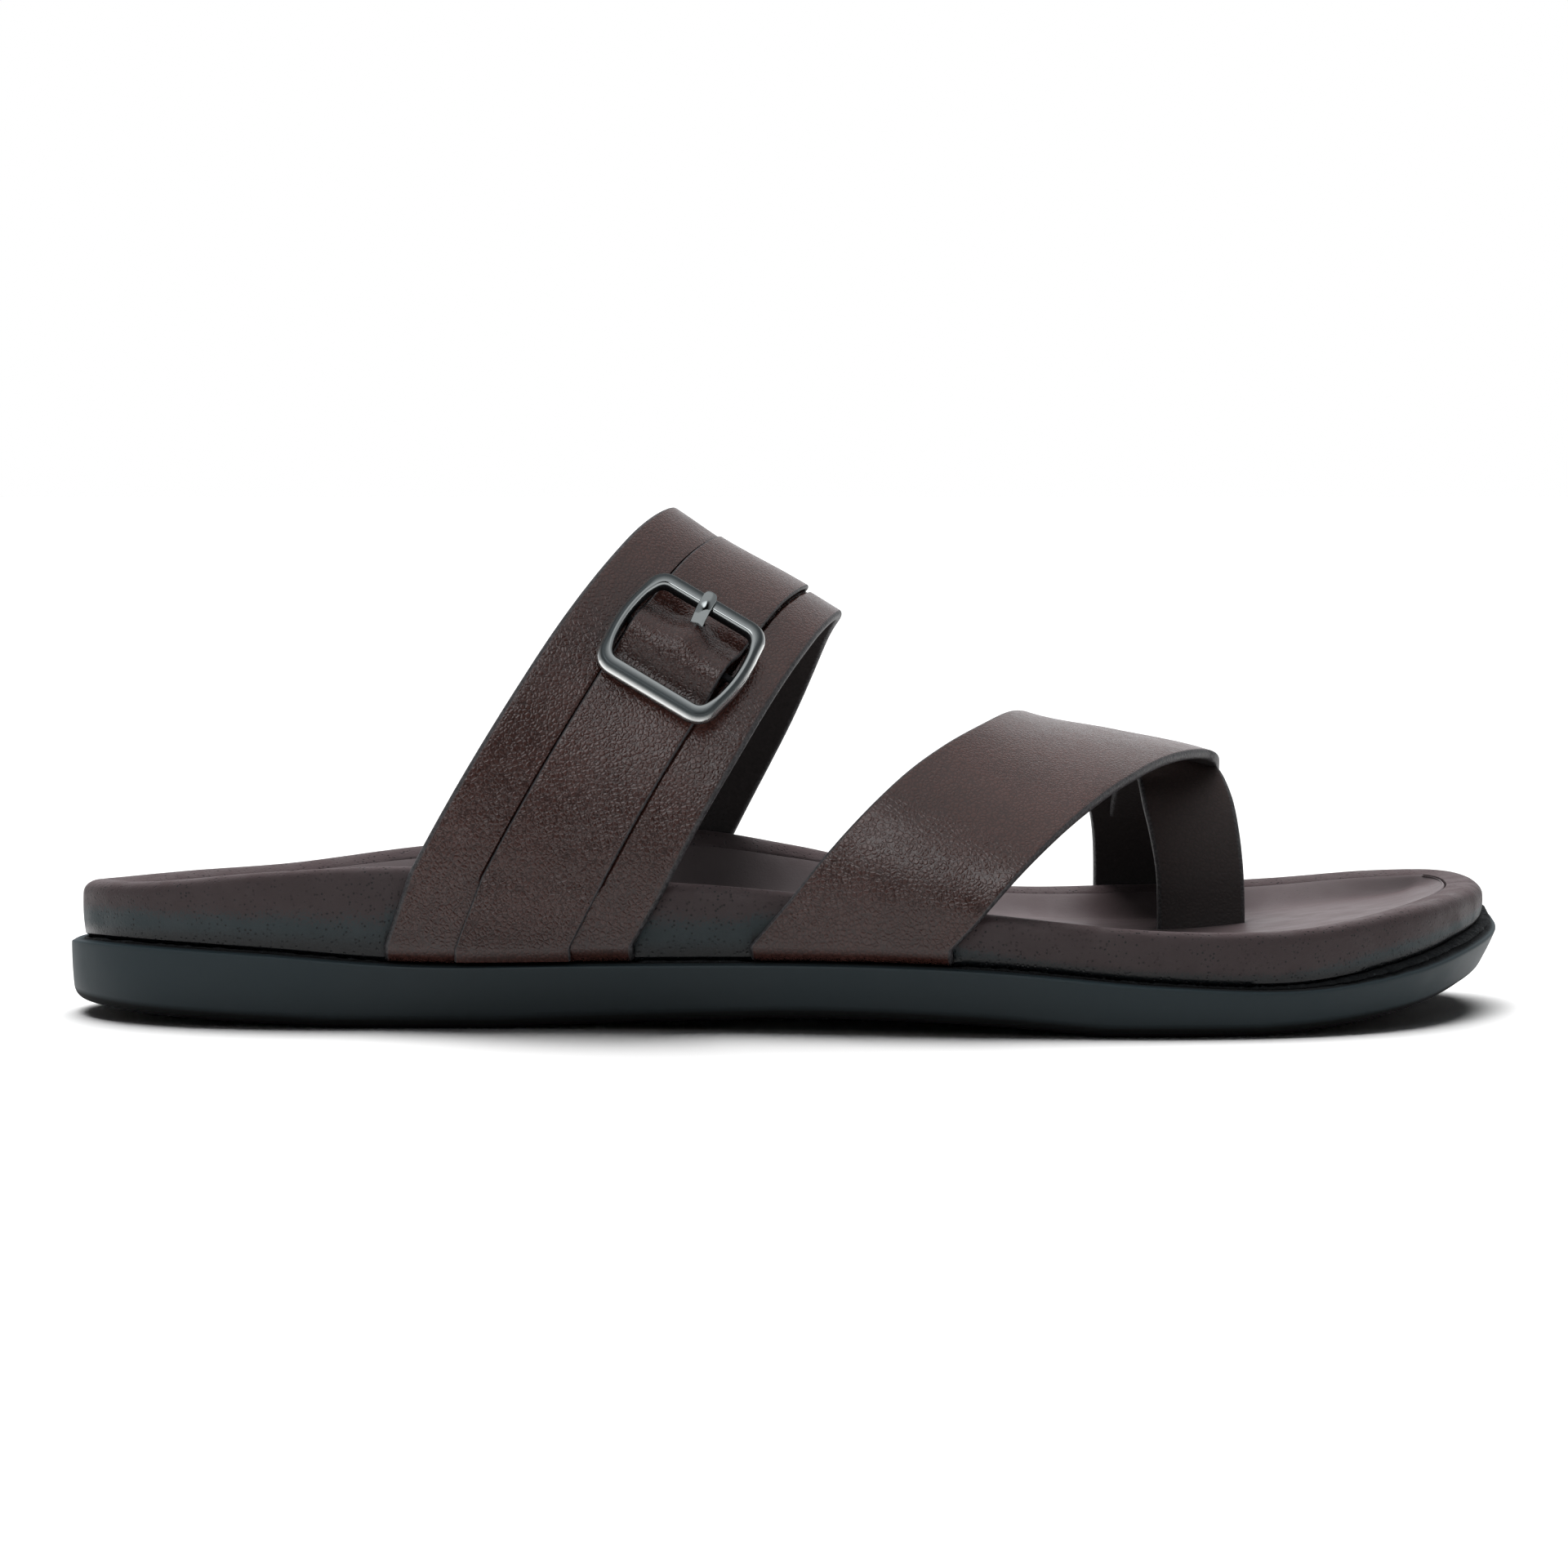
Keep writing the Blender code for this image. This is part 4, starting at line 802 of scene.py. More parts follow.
def build_footbed():
    stations = footbed_stations()
    lean = wall_lean(stations)
    skin = Skin("rise", "crest", "reach")

    def under(inset, pocket, lift=0.0):
        def height(s, medial):
            room = pocket_height(s, medial) if pocket else 0.0
            return outsole_top(s, medial, inset) + FIT_GAP + room + lift
        return Ring(stations, inset, height)

    def side(share):
        """On the side, from just above the chamfer to where the rim starts to round."""
        fill = HEEL_FILL * (1 - ramp(stations, 0.0, HEEL_LEAN_END)) * (1 - share)
        bulge = FOAM_BULGE * math.sin(math.pi * share)

        def height(s, medial):
            low = outsole_top(s, medial, LEDGE_WIDTH) + FIT_GAP + pocket_height(s, medial) + CHAMFER
            return between(low, side_height("rim", s, medial) - RIM_ROUND, share)
        return Ring(stations, LEDGE_WIDTH - fill - lean * share - bulge, height)

    def rim(angle):
        """Round the rim, from the top of the side up to its crest."""
        reach = RIM_CREST_INSET - LEDGE_WIDTH + lean
        drop = RIM_ROUND * (1 - math.sin(angle))
        return Ring(stations, RIM_CREST_INSET - reach * math.cos(angle),
                    lambda s, medial: side_height("rim", s, medial) - drop)

    margin_inset = LEDGE_WIDTH + LASTING_MARGIN
    seat_inset = INSOLE_INSET - FIT_GAP
    seat_depth = INSOLE_THICKNESS + SEAT_GAP
    layers = [(under(margin_inset + 1.2, False, FIT_GAP), {}),
              (under(margin_inset + 0.8, True), {}), (under(LEDGE_WIDTH + CHAMFER, True), {})]
    layers += [(side(share), {"rise": RIM_RISE * share})
               for share in (0.0, 0.1, 0.2, 0.35, 0.5, 0.65, 0.8, 0.92)]
    layers += [(rim(angle), {"rise": between(RIM_RISE, 1.0, math.sin(angle)),
                             "crest": max(0.0, math.sin(angle) - 0.55) * 2.2}) for angle in ARC]
    layers += [(bed_ring(stations, inset),
                {"rise": 1.0, "crest": max(0.0, 1.0 - (inset - RIM_CREST_INSET) / 1.6)})
               for inset in (6.4, 7.3, 8.2, 9.2, seat_inset - 0.5)]
    layers += [(bed_ring(stations, inset, sink), {"rise": 1.0}) for inset, sink in (
        (seat_inset - 0.05, 0.05), (seat_inset, 0.3), (seat_inset, seat_depth),
        (SEAT_CORE_INSET, seat_depth), (BED_INSET, seat_depth))]
    skin_layers(skin, layers, (6, None, {}), (6, None, {"rise": 1.0}))
    along = np.array(skin.points)[:, 0]
    skin.tags["reach"] = look_up(SPRAY, SPRAY_COLUMNS, "reach", along).tolist()
    return skin.build("footbed_foam")


def build_insole():
    stations = footbed_stations()
    skin = Skin("slot")
    open_seam = ramp(stations, *OPEN_SEAM)
    sheet_round = SHEET_ROUND + OPEN_ROUND * open_seam
    tight = INSOLE_INSET - (FIT_GAP - SEAM_GAP) * (1 - open_seam)

    def edge_ring(angle):
        """The sheet's edge: tight against the footbed, with an open seam at the toe's tip."""
        inset = tight + sheet_round * (1 - math.cos(angle))
        drop = sheet_round * (1 - math.sin(angle))
        return Ring(stations, inset, lambda s, medial: footbed_top(s, medial, inset) - drop)

    rings = [bed_ring(stations, inset, INSOLE_THICKNESS)
             for inset in (BED_INSET, SEAT_CORE_INSET, INSOLE_INSET)]
    rings += [edge_ring(angle) for angle in ARC]
    rings += [bed_ring(stations, inset)
              for inset in (11.6, 12.6, 14.0, 15.5, 17.0, 18.5, 20.0, BED_INSET)]
    skin_layers(skin, [(ring, {}) for ring in rings], (6, None, {}), (44, bed_shape, {}))
    x, y, _ = np.transpose(skin.points)
    skin.tags["slot"] = near_slot(x, y, SLOT_REACH).tolist()
    return skin.build("insole_sheet_top")


# ---- straps ----
def form_point(station, angle):
    """Point on the foot's form, under the straps: angle 0 is lateral, 180 is medial."""
    turn_by = np.radians(np.asarray(angle, float))

    def on_side(measure):
        return np.where(turn_by > math.pi / 2, measure(True), measure(False))

    wall = on_side(lambda medial: wall_offset(station, medial, LEDGE_WIDTH - FIT_GAP))
    start = on_side(lambda medial: side_height("rim", station, medial)) - FORM_DROP
    ridge = look_up(FORM, FORM_COLUMNS, "ridge_height", station)
    middle = look_up(FORM, FORM_COLUMNS, "ridge_offset", station)
    across = between(middle, wall, np.abs(np.cos(turn_by)) ** FORM_LEAN)
    return np.stack([station, across, between(start, ridge, np.sin(turn_by))], -1)


def form_normal(station, angle):
    small = 0.5
    here = form_point(station, angle)
    ahead = form_point(station + small, angle) - here
    above = form_point(station, angle + small) - form_point(station, angle - small)
    normal = np.cross(ahead, above)
    return normal / np.linalg.norm(normal, axis=-1, keepdims=True)


def under_face(station, angle, depth):
    """Station under a strap's face, so that the face ends up at the station given."""
    return station - depth * form_normal(station, angle)[..., 0]


def strap_station(edges, share, angle):
    """Station at a share of the way from a strap's rear edge to its front edge."""
    rear = look_up(edges, STRAP_COLUMNS, "rear", angle)
    return between(rear, look_up(edges, STRAP_COLUMNS, "front", angle), share)


ROOT_MARGIN_STEPS = 3
ROOT_TURN = np.radians(np.linspace(0, 90, 9))
OVERLAY_TURN = math.radians(40)  # the overlay ends within the turn
ROOT_RISE = np.linspace(0, 1, 14)[1:-1]


def root_path(root_station, rim_point, medial, with_margin):
    """From the margin under the footbed, round its lower edge and up to the rim."""
    inset = LEDGE_WIDTH - FIT_GAP
    seat = float(outsole_top(root_station, medial, LEDGE_WIDTH)) + FIT_GAP + LEATHER
    path = []
    turns = ROOT_TURN[ROOT_TURN > OVERLAY_TURN]
    if with_margin:
        turns = ROOT_TURN
        for back in np.linspace(LASTING_MARGIN, 0, ROOT_MARGIN_STEPS, endpoint=False):
            path.append((inset + TURN_RADIUS + back, seat))
    for turn_by in turns:
        path.append((inset + TURN_RADIUS * (1 - math.sin(turn_by)),
                     seat + TURN_RADIUS * (1 - math.cos(turn_by))))
    points = [(*edge_point(root_station, medial, step_in), height) for step_in, height in path]
    foot = np.array(points[-1])
    for share in ROOT_RISE:
        point = between(foot, rim_point, share)
        point[1] = wall_offset(point[0], medial, inset)
        points.append(tuple(point))
    return points


def strap_rib(edges, roots, share, angles, depth=LEATHER, with_margin=True):
    """Inner line of a strap, root to root, at a share (or one for each angle) of its width."""
    share = np.broadcast_to(share, angles.shape)
    stations = under_face(strap_station(edges, share, angles), angles, depth)
    arch = form_point(stations, angles)
    lateral, medial = [root_path(between(*root, share[0]), rim_point, side, with_margin)
                       for root, rim_point, side in zip(roots, (arch[0], arch[-1]), BOTH_SIDES)]
    return np.array(lateral + arch.tolist() + medial[::-1])


def offset_grid(grid, distance):
    """Grid of points moved out square to its own surface."""
    normal = np.cross(np.gradient(grid, axis=0), np.gradient(grid, axis=1))
    normal /= np.linalg.norm(normal, axis=-1, keepdims=True)
    return grid + normal * np.asarray(distance)[..., None]


def edge_distances(width, reach, spacing):
    """Distances across a strap: close together in the two rounded edges, even between them."""
    near = reach * (1 - np.cos(ARC))
    middle = np.linspace(reach, width - reach, max(3, round((width - 2 * reach) / spacing) + 1))
    return np.concatenate([near, middle[1:-1], width - near[::-1]])


def to_edge(distances):
    return np.minimum(distances, distances[-1] - distances)


def leather_skin(name, grid, distances, low, rise=0.0, reach=EDGE_ROUND, thickness=LEATHER,
                 hole=(0, 0, 0, 0), suede_painted_shade=0.0):
    """Closed leather strip with rounded edges; rise lifts its outer face off the plain one.

    The grid is its inner face, rib by rib. The hole is the first and last rib and step of a slit.
    """
    edge = ramp(reach * 1.05 - to_edge(distances), 0.0, reach * 0.45)
    round_off = np.clip(1 - to_edge(distances) / reach, 0, 1)
    half = thickness / 2 * np.sqrt(1 - round_off ** 2)[:, None]
    lower = offset_grid(grid, thickness / 2 - half)
    upper = offset_grid(grid, thickness / 2 + half + rise)
    ribs, steps = grid.shape[:2]
    skin = Skin("edge", "lining", "low")
    # The outer face takes a share of the dark suede colour where painted shade is wanted.
    top = [skin.row(upper[i], edge=edge[i], lining=suede_painted_shade, low=low) for i in range(ribs)]
    bottom = [top[0]]
    bottom += [skin.row(lower[i], edge=edge[i], lining=1.0, low=low) for i in range(1, ribs - 1)]
    bottom.append(top[-1])
    for i in range(ribs - 1):
        for k in range(steps - 1):
            if not (hole[0] <= i < hole[1] and hole[2] <= k < hole[3]):
                around = ((i, k), (i + 1, k), (i + 1, k + 1), (i, k + 1))
                skin.faces.append([top[rib][step] for rib, step in around])
                skin.faces.append([bottom[rib][step] for rib, step in around[::-1]])
    ring = hole_ring(hole)
    for (i, k), (j, m) in zip(ring, ring[1:] + ring[:1]):
        skin.faces.append((top[i][k], top[j][m], bottom[j][m], bottom[i][k]))
    for k, flip in ((0, False), (steps - 1, True)):
        for i in range(ribs - 1):
            face = list(dict.fromkeys((top[i][k], bottom[i][k], bottom[i + 1][k], top[i + 1][k])))
            if len(face) > 2:
                skin.faces.append(face[::-1] if flip else face)
    return skin.build(name, sharp=50.0)


def hole_ring(hole):
    """Rib and step of each point around the hole; nothing where there is none."""
    first, last, start, end = hole
    ring = [(i, start) for i in range(first, last)]
    ring += [(last, k) for k in range(start, end)]
    ring += [(i, end) for i in range(last, first, -1)]
    return ring + [(first, k) for k in range(end, start, -1)]


def path_low(ribs):
    """1 at the foot of a strap, 0 from a few millimetres up: where the leather gets painted shade
    and shallower grain.
    """
    height = ribs[len(ribs) // 2][:, 2]
    return 1 - ramp(height, height.min() + 1.0, height.min() + 9.0)


ANGLES = np.linspace(0, 180, round(180 / ANGLE_STEP) + 1)


def build_strap(name, edges, roots, wear_seed):
    distances = edge_distances(STRAP_WIDTH, EDGE_ROUND, STRAP_SPACING)
    ribs = np.array([strap_rib(edges, roots, d / STRAP_WIDTH, ANGLES) for d in distances])
    along = np.arange(ribs.shape[1])[None, :] * 1.2
    soft = WEAR_DEPTH * waves(distances[:, None], along, wear_seed, WEAR_LENGTH)
    fade = ramp(to_edge(distances), 1.0, 5.0)[:, None]
    return leather_skin(name, ribs, distances, path_low(ribs), soft * fade)


def build_toe_ring():
    """The toe ring: up from its slot in the insole, then inside the forefoot strap."""
    distances = edge_distances(RING_WIDTH, EDGE_ROUND, 1.0)
    rows = []
    for share in distances / RING_WIDTH:
        points = [(between(rear, front, share), offset, height)
                  for offset, height, rear, front in RING_LEG]
        for angle, rear, front, sink in RING_JOINED:
            station = between(rear, front, share)
            here = form_point(station, angle)
            step = form_point(station, angle + 1.0) - here
            inward = np.array([0.0, step[2], -step[1]]) / math.hypot(step[1], step[2])
            points.append(tuple(here + inward * sink))
        rows.append(even_path(points, RING_STEPS))
    # Painted shade: the ring's outer face takes three quarters of the dark suede colour, as the
    # strap above shades it.
    return leather_skin("toe_ring_leather", np.array(rows), distances, 0.0, suede_painted_shade=0.75)


# ---- overlay strap and buckle ----
def instep_face(angle, share):
    """Point on the instep strap's face, and the direction out of it."""
    station = under_face(strap_station(INSTEP_EDGES, share, angle), angle, LEATHER)
    normal = form_normal(station, angle)
    return form_point(station, angle) + normal * LEATHER, normal


def buckle_matrix():
    """Frame of the buckle: x across the strap, y up along it, z out, on its underside."""
    step = 8.0
    centre, out = instep_face(BUCKLE_ANGLE, BUCKLE_SHARE)
    along = (instep_face(BUCKLE_ANGLE + step, BUCKLE_SHARE)[0]
             - instep_face(BUCKLE_ANGLE - step, BUCKLE_SHARE)[0])
    along /= np.linalg.norm(along)
    out = out - along * np.dot(out, along)
    out /= np.linalg.norm(out)
    columns = (np.cross(along, out), along, out, place(centre + out * BUCKLE_LIFT))
    matrix = Matrix([*np.transpose(columns).tolist(), (0.0, 0.0, 0.0, 1.0)])
    return (matrix @ Matrix.Rotation(BUCKLE_ROLL, 4, "Y") @ Matrix.Rotation(BUCKLE_PITCH, 4, "X")
            @ Matrix.Rotation(BUCKLE_TWIST, 4, "Z"))


BUCKLE = buckle_matrix()


def buckle_local(points):
    """Points in the buckle's own frame, in millimetres."""
    inverse = np.array(BUCKLE.inverted())
    return (place(points) @ inverse[:3, :3].T + inverse[:3, 3]) / MM


def hump(y, middle, half_length):
    return np.cos(math.pi / 2 * np.clip(np.abs(y - middle) / half_length, 0, 1)) ** 2


def overlay_rise(points):
    """How far the overlay stands off where it runs over the buckle's bar and prong."""
    x, y, z = np.moveaxis(buckle_local(points), -1, 0)
    deeper = (OVERLAY_SEATS[0] - OVERLAY_SEATS[1]) * np.clip(0.5 - x / OVERLAY_WIDTH, 0, 1)
    bar = (OVERLAY_RISE + deeper - x * math.sin(BUCKLE_ROLL)) * hump(y, 0.0, OVERLAY_RISE_HALF)
    prong = PRONG_RISE * hump(y, PRONG_RISE_PLACE, PRONG_RISE_HALF)
    return (np.abs(z) < FRAME_HALF_WIDTH) * (bar + prong * np.exp(-(x / PRONG_RISE_SPREAD) ** 2))


def build_overlay():
    """The buckle strap: it lies in the instep strap's seat and runs over the buckle's bar."""
    start, end = BUCKLE_STRETCH
    angles = np.concatenate([
        np.arange(0, start, ANGLE_STEP), np.arange(start, end, FINE_ANGLE_STEP),
        np.linspace(end, 180, round((180 - end) / ANGLE_STEP) + 1)])
    distances = edge_distances(OVERLAY_WIDTH, OVERLAY_ROUND, OVERLAY_SPACING)
    shares = distances / OVERLAY_WIDTH
    seat_depths = between(*OVERLAY_SEATS, shares)
    ribs = np.array([
        strap_rib(INSTEP_EDGES, INSTEP_ROOTS, strap_station(OVERLAY_SHARES, share, angles), angles,
                  LEATHER - seat_depth + FIT_GAP + OVERLAY_LEATHER, with_margin=False)
        for share, seat_depth in zip(shares, seat_depths)])
    ends = (ribs.shape[1] - len(angles)) // 2
    fade = np.concatenate([np.linspace(*OVERLAY_END_SEAT, ends), np.ones(len(angles)),
                           np.linspace(*OVERLAY_END_SEAT[::-1], ends)])
    grid = offset_grid(ribs, LEATHER + FIT_GAP - seat_depths[:, None] * fade)
    grid = offset_grid(grid, overlay_rise(grid))
    x, y, z = np.moveaxis(buckle_local(grid), -1, 0)
    inside = np.nonzero((np.abs(x - PRONG_SKEW * sum(PRONG_SLIT) / 2) < PRONG_WIDTH / 2)
                        & (y > SNUG_SLIT[0]) & (y < SNUG_SLIT[1]) & (np.abs(z) < BUCKLE_REACH))
    hole = [limit for steps in inside for limit in (steps.min(), steps.max())]
    return leather_skin("buckle_strap_leather", grid, distances, path_low(ribs),
                        reach=OVERLAY_ROUND, thickness=OVERLAY_LEATHER, hole=hole)


def build_instep_strap():
    """The broad strap over the instep, with a shallow seat for the overlay in its face."""
    distances = edge_distances(STRAP_WIDTH, EDGE_ROUND, STRAP_SPACING)
    for low, high in SEAT_EDGES:
        close = np.arange(low, high, SEAT_SPACING) * STRAP_WIDTH
        rear = distances[distances < close[0] - SEAT_SPACING]
        front = distances[distances > close[-1] + SEAT_SPACING]
        distances = np.concatenate([rear, close, front])
    shares = (distances / STRAP_WIDTH)[:, None]
    ribs = np.array([strap_rib(INSTEP_EDGES, INSTEP_ROOTS, share[0], ANGLES) for share in shares])
    ends = (ribs.shape[1] - len(ANGLES)) // 2
    angle = np.concatenate([np.zeros(ends), ANGLES, np.full(ends, 180.0)])
    past_rear = shares - look_up(OVERLAY_SHARES, STRAP_COLUMNS, "rear", angle)
    before_front = look_up(OVERLAY_SHARES, STRAP_COLUMNS, "front", angle) - shares
    inside = ramp(past_rear, *SEAT_WALL) * ramp(before_front, *SEAT_WALL)
    seat = between(*OVERLAY_SEATS, np.clip(past_rear / (past_rear + before_front), 0, 1))
    fade = np.ones(ribs.shape[1])
    fade[:ends] = 0
    fade[-ends:] = 0
    return leather_skin("instep_strap_leather", ribs, distances, path_low(ribs),
                        -seat * inside * fade)


CORNER_STEPS = 4
# For each corner of the frame's section: how much painted shade darkens it, and how much painted
# highlight brightens it.
FRAME_TAGS = {"hidden": (1.0, 0.7, 0.0, 0.6, 0.0, 0.9), "bevel": (0.0, 0.0, 1.0, 0.0, 0.25, 0.0)}


def frame_path():
    """Middle line of the buckle's frame, from its right side over the upper end and round."""
    bar_end = FRAME_HALF_WIDTH - FRAME_BOW - FRAME_CORNER
    quarter = [np.array((FRAME_HALF_WIDTH - FRAME_BOW * (y / FRAME_HALF_LENGTH) ** 2, y))
               for y in np.linspace(0, FRAME_HALF_LENGTH - FRAME_CORNER, 14)]
    corner = np.array([FRAME_HALF_WIDTH - FRAME_BOW, FRAME_HALF_LENGTH])
    quarter += bend(quarter[-1], corner, np.array([bar_end, FRAME_HALF_LENGTH]), 15)[1:]
    quarter += [(x, FRAME_HALF_LENGTH) for x in np.linspace(bar_end, 0, 12)[1:]]
    half = quarter + [(-x, y) for x, y in quarter[-2::-1]]
    return np.array(half + [(x, -y) for x, y in half[-2:0:-1]])


def frame_section(width):
    half = width / 2
    top = FRAME_THICKNESS
    return rounded(((-half, 0.0, 0.25), (half, 0.0, 0.25), (half, 0.42 * top, 0.35),
                    (half - 1.0, top, 0.4), (-half + 0.5, top, 0.4), (-half, 0.70 * top, 0.35)))


def rounded(corners, steps=CORNER_STEPS):
    """Outline with each corner (x, y, radius) cut to a small curve."""
    points = []
    places = [np.array(corner[:2]) for corner in corners]
    for i, (here, (*_, radius)) in enumerate(zip(places, corners)):
        ends = []
        for there in (places[i - 1], places[(i + 1) % len(places)]):
            length = np.linalg.norm(there - here)
            ends.append(here + (there - here) / length * min(radius, 0.45 * length))
        points += bend(ends[0], here, ends[1], steps)
    return np.array(points)


def around_bar(x, radius, count):
    """Circle of points around the middle of the buckle's centre bar."""
    return [(x, radius * math.cos(a), CENTRE_BAR_HEIGHT + radius * math.sin(a))
            for a in np.linspace(0, 2 * math.pi, count, endpoint=False)]


def build_buckle_frame():
    path = frame_path()
    rings = []
    for (x, y), before, after in zip(path, np.roll(path, 1, 0), np.roll(path, -1, 0)):
        tangent = (after - before) / np.linalg.norm(after - before)
        share = ramp(abs(y), 0.5 * FRAME_HALF_LENGTH, FRAME_HALF_LENGTH)
        width = between(SIDE_BAR_WIDTH, END_BAR_WIDTH, share)
        rings.append([(x + tangent[1] * out, y - tangent[0] * out, height)
                      for out, height in frame_section(width)])
    skin = Skin(*FRAME_TAGS)
    skin.tube(rings, True, **{tag: np.repeat(values, CORNER_STEPS + 1)
                              for tag, values in FRAME_TAGS.items()})
    # The centre bar under the strap: painted shade all over.
    skin.tube([around_bar(x, CENTRE_BAR_RADIUS, 24)
               for x in np.linspace(-FRAME_HALF_WIDTH, FRAME_HALF_WIDTH, 9)], False, hidden=1.0)
    return skin.build("buckle_frame_metal", 35.0, BUCKLE)


def build_prong():
    """The prong: a bent tongue on the line PRONG_LINE, and the eye that holds it on the bar."""
    half = PRONG_WIDTH / 2
    line = even_path(PRONG_LINE, PRONG_STEPS)
    slope = np.gradient(line, axis=0)
    slope /= np.linalg.norm(slope, axis=1, keepdims=True)
    outline = rounded(((-half, -0.5, 0.25), (half, -0.5, 0.25), (half, 0.05, 0.2), (0.2, 0.5, 0.6),
                       (-half, 0.15, 0.2)))
    to_tip = np.arange(len(line))[::-1] * 0.25
    tapers = between(PRONG_TIP, 1.0, np.sqrt(np.minimum(1.0, to_tip / PRONG_TIP_LENGTH)))
    rings = []
    for point, (ahead, above), taper in zip(line, slope, tapers):
        ring = []
        for x, rise in outline:
            y, z = point + np.array([-above, ahead]) * rise * PRONG_THICKNESS * taper
            ring.append((x * taper + PRONG_SKEW * y, y, z))
        rings.append(ring)
    inner = CENTRE_BAR_RADIUS + PRONG_GAP
    outer = inner + EYE_THICKNESS
    eye = rounded(((-half, inner, 0.1), (half, inner, 0.1), (half, outer, 0.15),
                   (-half, outer, 0.15)), 3)
    skin = Skin("hidden", "bevel")
    # A faint painted highlight over the prong and its eye.
    skin.tube(rings, False, bevel=0.15)
    skin.tube(np.swapaxes([around_bar(x, radius, 32) for x, radius in eye], 0, 1), True, bevel=0.15)
    return skin.build("buckle_prong_metal", 35.0, BUCKLE)


# ---- glue line between footbed and outsole ----
def build_glue():
    """Uneven bead in the corner over the ledge, left out where a strap comes through."""
    lateral, medial = [strap_pockets(side, 0.5) for side in BOTH_SIDES]

    def run(side, start, end, step):
        return [(station, side) for station in np.arange(start, end, step)]

    beads = [run(False, lateral[0][0], 0, -1.2) + run(True, 0.3, medial[0][0], 1.2),
             run(False, lateral[1][1], SOLE_LENGTH, 0.6)
             + run(True, SOLE_LENGTH - 0.3, medial[1][1], -0.6),
             run(False, lateral[0][1], lateral[1][0], 1.2),
             run(True, medial[0][1], medial[1][0], 1.2)]
    draw = np.random.default_rng(11)
    skin = Skin()
    for bead in beads:
        rings = []
        for i, (station, side) in enumerate(bead):
            plan = edge_point(station, side, LEDGE_WIDTH - 0.1)
            away = edge_point(station, side, LEDGE_WIDTH - 1.1) - plan
            away /= np.linalg.norm(away)
            size = GLUE_SIZE + GLUE_TOE_SIZE * ramp(station, *GLUE_TOE_RANGE)
            size += GLUE_WOBBLE * draw.uniform(-1, 1)
            size *= min(1.0, 0.3 + i * 0.4, 0.3 + (len(bead) - 1 - i) * 0.4)
            spread = 1 + GLUE_SPREAD * ramp(station, *GLUE_SPREAD_RANGE)
            height = outsole_top(station, side, LEDGE_WIDTH) + 0.1
            angles = np.radians(np.arange(0, 360, 45))[:, None]
            rings.append(np.hstack([plan + away * (size * spread * np.cos(angles)),
                                    height + size * 0.8 / spread * np.sin(angles)]))
        skin.tube(rings, False)
    return skin.build("glue_line", sharp=80.0)


# ---- light, floor and camera ----
CAMERA_ELEVATION = math.radians(4.0)
CAMERA_DISTANCE = 1.1
CAMERA_TARGET = Vector((-0.00105, 0.0, 0.0457))
CAMERA_LENS = 124.8


def build_camera():
    data = bpy.data.cameras.new("camera")
    data.lens = CAMERA_LENS
    camera = add_object("camera", data)
    back = Vector((0.0, -math.cos(CAMERA_ELEVATION), math.sin(CAMERA_ELEVATION)))
    camera.location = CAMERA_TARGET + back * CAMERA_DISTANCE
    camera.rotation_euler = (-back).to_track_quat("-Z", "Y").to_euler()
    bpy.context.scene.camera = camera


# Soft patches of the room, each over those before it: azimuth (0 is on the camera's side) and
# elevation of the middle, reach of the fade and of the full patch in degrees, radiance.
ROOM_BASE = (0.74, 0.755, 0.77)
ROOM = (
    (-20, 72, 50, 24, (1.25, 1.26, 1.28)),
    (180, 2, 40, 12, (0.95, 0.96, 0.98)),
    (0, 14, 40, 16, (0.01, 0.01, 0.01)),
    (-17, 33, 19, 8, (4.20, 4.22, 4.26)),
)


SUN_ENERGY = 5.7
SUN_SIZE = math.radians(52)
SUN_ELEVATION = math.radians(58)
SUN_COURSE = (0.12, -0.94)  # where its light travels over the floor


def build_light():
    """A broad light high behind the heel, which reflections don't see."""
    data = bpy.data.lights.new("back_light", "SUN")
    data.energy = SUN_ENERGY
    data.angle = SUN_SIZE
    sun = add_object("back_light", data)
    x, y = SUN_COURSE
    flat = math.cos(SUN_ELEVATION)
    travel = Vector((x * flat, y * flat, -math.sin(SUN_ELEVATION)))
    sun.rotation_euler = travel.to_track_quat("-Z", "Y").to_euler()
    sun.visible_glossy = False


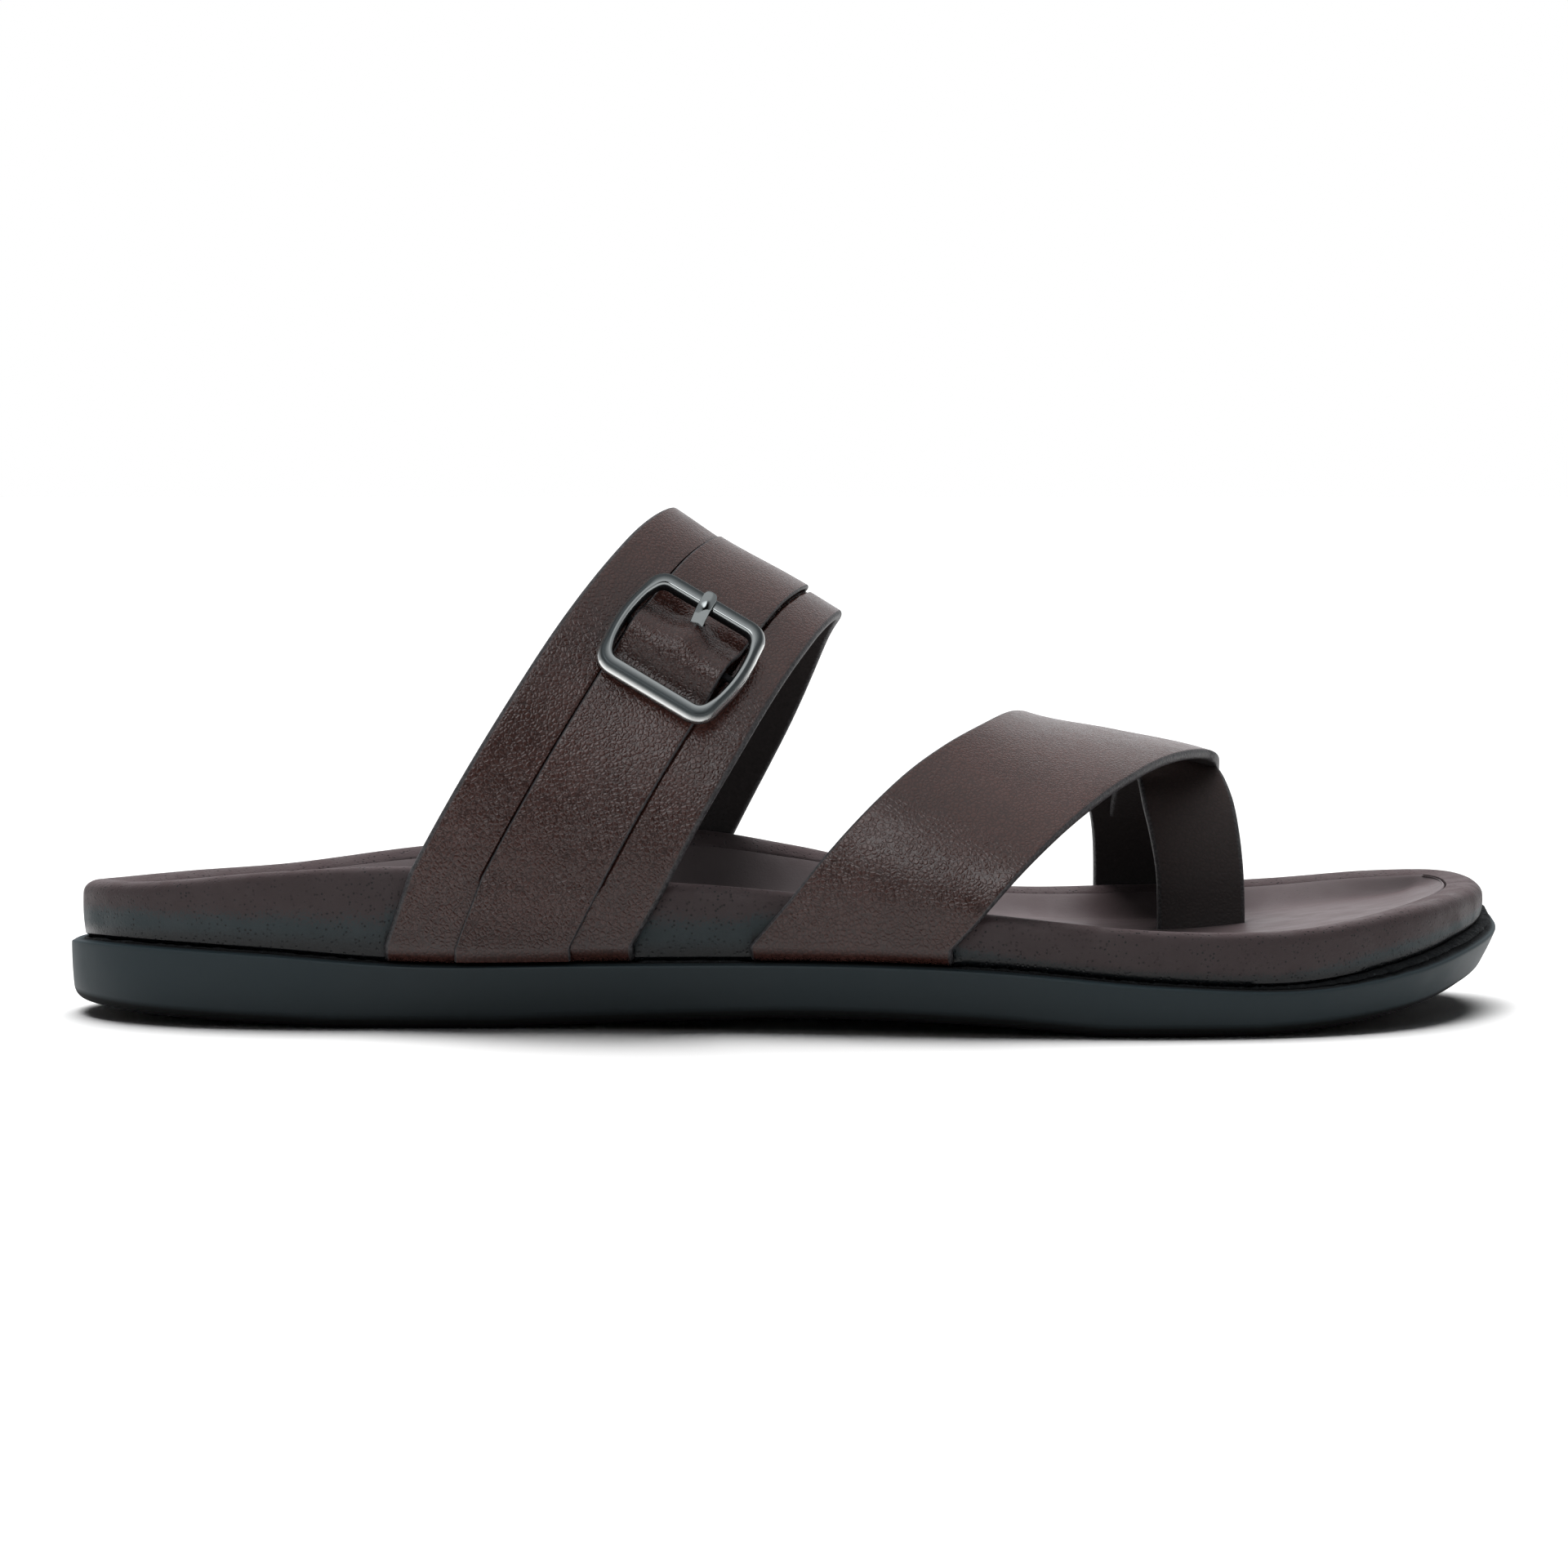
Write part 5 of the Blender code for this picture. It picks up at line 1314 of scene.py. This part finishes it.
def build_room():
    """The studio as reflections see it, white where the camera looks past the floor."""
    world = bpy.data.worlds.new("studio")
    nodes = Nodes(world)
    direction = nodes.node("ShaderNodeTexCoord").outputs["Generated"]
    color = ROOM_BASE
    for *where, radiance in ROOM:
        a, e, outer, inner = [math.radians(degrees) for degrees in where]
        middle = (math.sin(a) * math.cos(e), -math.cos(a) * math.cos(e), math.sin(e))
        dot = nodes.node("ShaderNodeVectorMath", {"operation": "DOT_PRODUCT"}, i0=direction,
                         i1=middle).outputs["Value"]
        share = nodes.ramp(dot, math.cos(outer), math.cos(inner))
        color = nodes.mix(share, color, radiance)
    seen = nodes.node("ShaderNodeLightPath").outputs["Is Camera Ray"]
    background = nodes.tree.nodes["Background"].inputs["Color"]
    nodes.put(background, nodes.mix(seen, color, (1.0, 1.0, 1.0)))
    world.cycles_visibility.diffuse = False
    bpy.context.scene.world = world
    bpy.context.scene.view_settings.view_transform = "Standard"


FLOOR_HALF = 6.0
FLOOR_DROP = 0.00005  # keeps the floor just under the sole


def build_floor():
    mesh = bpy.data.meshes.new("floor")
    corners = [(x * FLOOR_HALF, y * FLOOR_HALF, 0) for x, y in ((-1, -1), (1, -1), (1, 1), (-1, 1))]
    mesh.from_pydata(corners, [], [(0, 1, 2, 3)])
    floor = add_object("floor", mesh)
    floor.location.z = -FLOOR_DROP
    paint = Paint("white_floor")
    color = paint.mix(paint.noise(60.0), (0.90, 0.90, 0.90), (0.94, 0.94, 0.94))
    mesh.materials.append(paint.finish(color, 0.85, Specular_IOR_Level=0.1))


# ---- assembly ----
def dress(piece, material, slot, *nodes):
    piece.data.materials.append(material)
    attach(piece, "root")
    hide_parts(*nodes)


def main():
    leather = leather_material()
    metal = metal_material()
    dress(build_outsole(), rubber_material(), "outsole_rubber", "outsole")
    dress(build_footbed(), foam_material(), "footbed_foam", "footbed")
    dress(build_insole(), insole_material(), "insole_sheet", "insole")
    dress(build_instep_strap(), leather, "brown_leather", "instep_strap")
    dress(build_strap("forefoot_strap_leather", FOREFOOT_EDGES, FOREFOOT_ROOTS, 4), leather,
          "brown_leather", "forefoot_strap")
    dress(build_toe_ring(), leather, "brown_leather", "forefoot_strap")
    dress(build_overlay(), leather, "brown_leather", "buckle_strap")
    dress(build_buckle_frame(), metal, "dark_chrome", "buckle_frame")
    dress(build_prong(), metal, "dark_chrome", "buckle_prong")
    dress(build_glue(), glue_material(), "outsole_rubber", "outsole")
    build_floor()
    build_light()
    build_room()
    build_camera()


main()

bpy.context.view_layer.update()
